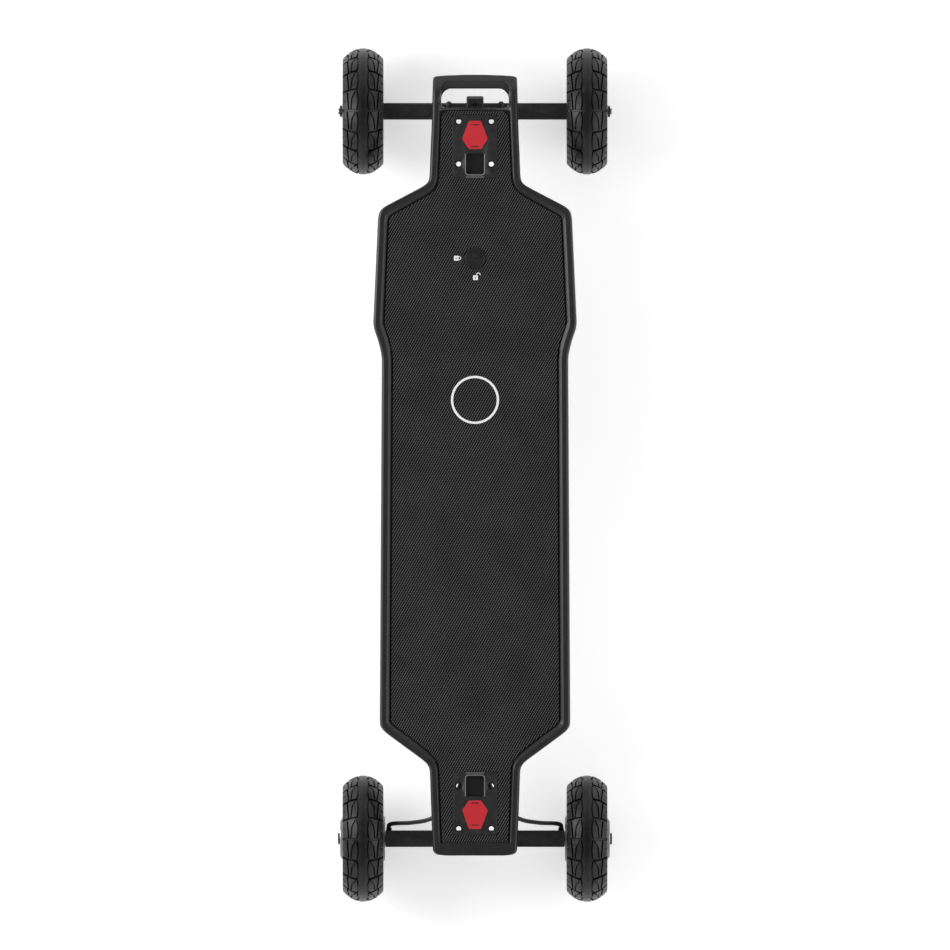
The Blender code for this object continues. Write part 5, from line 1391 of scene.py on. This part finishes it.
CABLE_RADIUS = 0.00275
CABLE_X = 0.0158
CABLE_Z = 0.1268
CABLE_ROUTE = (
    (CABLE_X, -0.3603, CABLE_Z), (0.0155, -0.374, 0.126), (0.0205, -0.396, 0.121), (0.034, -0.419, 0.113),
    (0.056, -0.435, 0.105), (0.08, -0.44, 0.1005), (0.101, -0.441, 0.0965), (0.1085, -0.443, 0.089),
    (0.109, -0.4475, 0.083),
)


def build_connector(name, side):
    """A ribbed socket on the controller bay's rear, with the cable's plug in it."""
    profile = [(0, 0), (0.0065, 0), (0.0065, 0.005), (0.0061, 0.0054), (0.0061, 0.0066), (0.0065, 0.007)]
    profile += [(0.0065, 0.0256), (0.006, 0.027), (0.0052, 0.0272)]
    z = 0.028
    for k in range(8):
        radius = 0.0052 - 0.0002 * k
        profile += [
            (radius, z), (radius, z + 0.0017), (radius - 0.0007, z + 0.0019), (radius - 0.0007, z + 0.0027)
        ]
        z += 0.0029
    profile += [(0.0036, z), (0.0036, z + 0.003), (0.0033, 0.0572), (0, 0.0572)]
    connector = turned(name + "_cable_connector_visual", profile, "black_plastic", 48)
    finish(place(connector, at(side * CABLE_X, -0.3028, CABLE_Z) @ about("X", math.pi / 2)), "deck")


def build_cable(name, side):
    """The motor's lead in two lengths that meet end to end, each reaching across one joint of the truck."""
    route = smooth_route([(side * x, y, z) for x, y, z in CABLE_ROUTE], 14)
    split = int(len(route) * 0.48)
    upper = tube(name + "_motor_cable_upper", route[:split + 1], CABLE_RADIUS, "cable_rubber")
    lower = tube(name + "_motor_cable_lower", route[split:], CABLE_RADIUS, "cable_rubber")
    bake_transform(upper)
    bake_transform(lower)
    for piece in (upper, lower):
        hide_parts(name + "_motor_cable")
        finish(piece)
    boot = [(route[-1] - route[-4]).normalized() * k * 0.0012 + route[-4] for k in range(7)]
    sizes = [0.0031, 0.0034, 0.0035, 0.0036, 0.0037, 0.0038, 0.004]
    finish(tube(name + "_cable_boot", boot, sizes, "black_plastic", 24), "rear_axle_carrier")


# ---------------- stage


def build_stage():
    mesh = bpy.data.meshes.new("floor")
    corners = ((-1, -1), (1, -1), (1, 1), (-1, 1))
    mesh.from_pydata([(x * FLOOR_REACH, y * FLOOR_REACH, 0.0) for x, y in corners], [], [(0, 1, 2, 3)])
    nodes = Nodes(bpy.data.materials.new("floor_paper"))
    mesh.materials.append(nodes.done({
        "Base Color": nodes.mix(nodes.noise(3.0), (0.9, 0.9, 0.9), (0.93, 0.93, 0.93)),
        "Roughness": 0.95, "Specular IOR Level": 0.1, "Emission Color": (1.0, 1.0, 1.0), "Emission Strength": 0.4,
    }))
    add_object("floor", mesh)


def build_world():
    """A pale surround, bright at the horizon and darker overhead."""
    world = bpy.data.worlds.new("studio")
    bpy.context.scene.world = world
    nodes = Nodes(world, "Background", "Generated")
    height = nodes.add("ShaderNodeSeparateXYZ", {0: nodes.place}).outputs[2]
    nodes.done({"Color": (1.0, 1.0, 1.0), "Strength": nodes.ramp(height, 0.45, 0.88, 1.1, 0.26)})


def build_light(name, location, size, energy):
    light = bpy.data.lights.new(name, "AREA")
    light.shape = "RECTANGLE"
    light.size, light.size_y = size
    light.energy = energy
    obj = add_object(name, light)
    obj.location = location
    obj.rotation_euler = (Vector((0, 0, 0.1)) - Vector(location)).to_track_quat("-Z", "Y").to_euler()


FLOOR_REACH = 120.0
FRAME_WIDTH = 1.2008
LENS = 1200.0
SENSOR = 36.0
LOOK_Z = 0.155


def build_camera():
    """Straight above the deck, with the nose at the top of the picture, as in the photograph's top view."""
    data = bpy.data.cameras.new("camera")
    data.lens = LENS
    data.sensor_width = SENSOR
    data.clip_start = 0.1
    data.clip_end = 1000.0
    camera = add_object("camera", data)
    middle = (cad_box[0][1] + cad_box[1][1]) / 2
    camera.location = (0.0, middle, LOOK_Z + FRAME_WIDTH * LENS / SENSOR)
    bpy.context.scene.camera = camera


def finish_kept_nodes():
    """Gives the CAD nodes that stay in view their materials."""
    kept = {
        "battery_cells": "cell_wrap", "controller_board": "circuit_board", "lock_key": "bright_steel",
        "front_pivot_cup": "black_plastic", "rear_pivot_cup": "black_plastic",
        "rear_left_stator": "stator_steel", "rear_right_stator": "stator_steel",
    }
    for node, material in kept.items():
        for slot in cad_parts[node].material_slots:
            slot.material = MATERIALS[material]


def main():
    build_camera()
    for build in (build_shell, build_mat, build_lock, build_prints, build_tray, build_battery, build_controller):
        build()
    for name, end in ENDS:
        build_top_plate(name, end)
        build_truck(name, end)
    for name, side in SIDES:
        build_front_wheel("front_" + name, side)
        build_motor("rear_" + name, side)
        build_axle_nut("front_" + name + "_axle_nut", 1, side, 0.168)
        build_axle_nut("rear_" + name + "_axle_nut", -1, side, 0.1703)
        build_connector(name, side)
        build_cable(name, side)
    finish_kept_nodes()
    build_stage()
    build_world()
    build_light("key_light", (-2.1, 0.5, 1.25), (1.3, 2.6), 46)
    build_light("fill_light", (2.1, -0.3, 1.3), (1.6, 2.4), 16)
    bpy.context.scene.view_settings.view_transform = "Standard"


main()
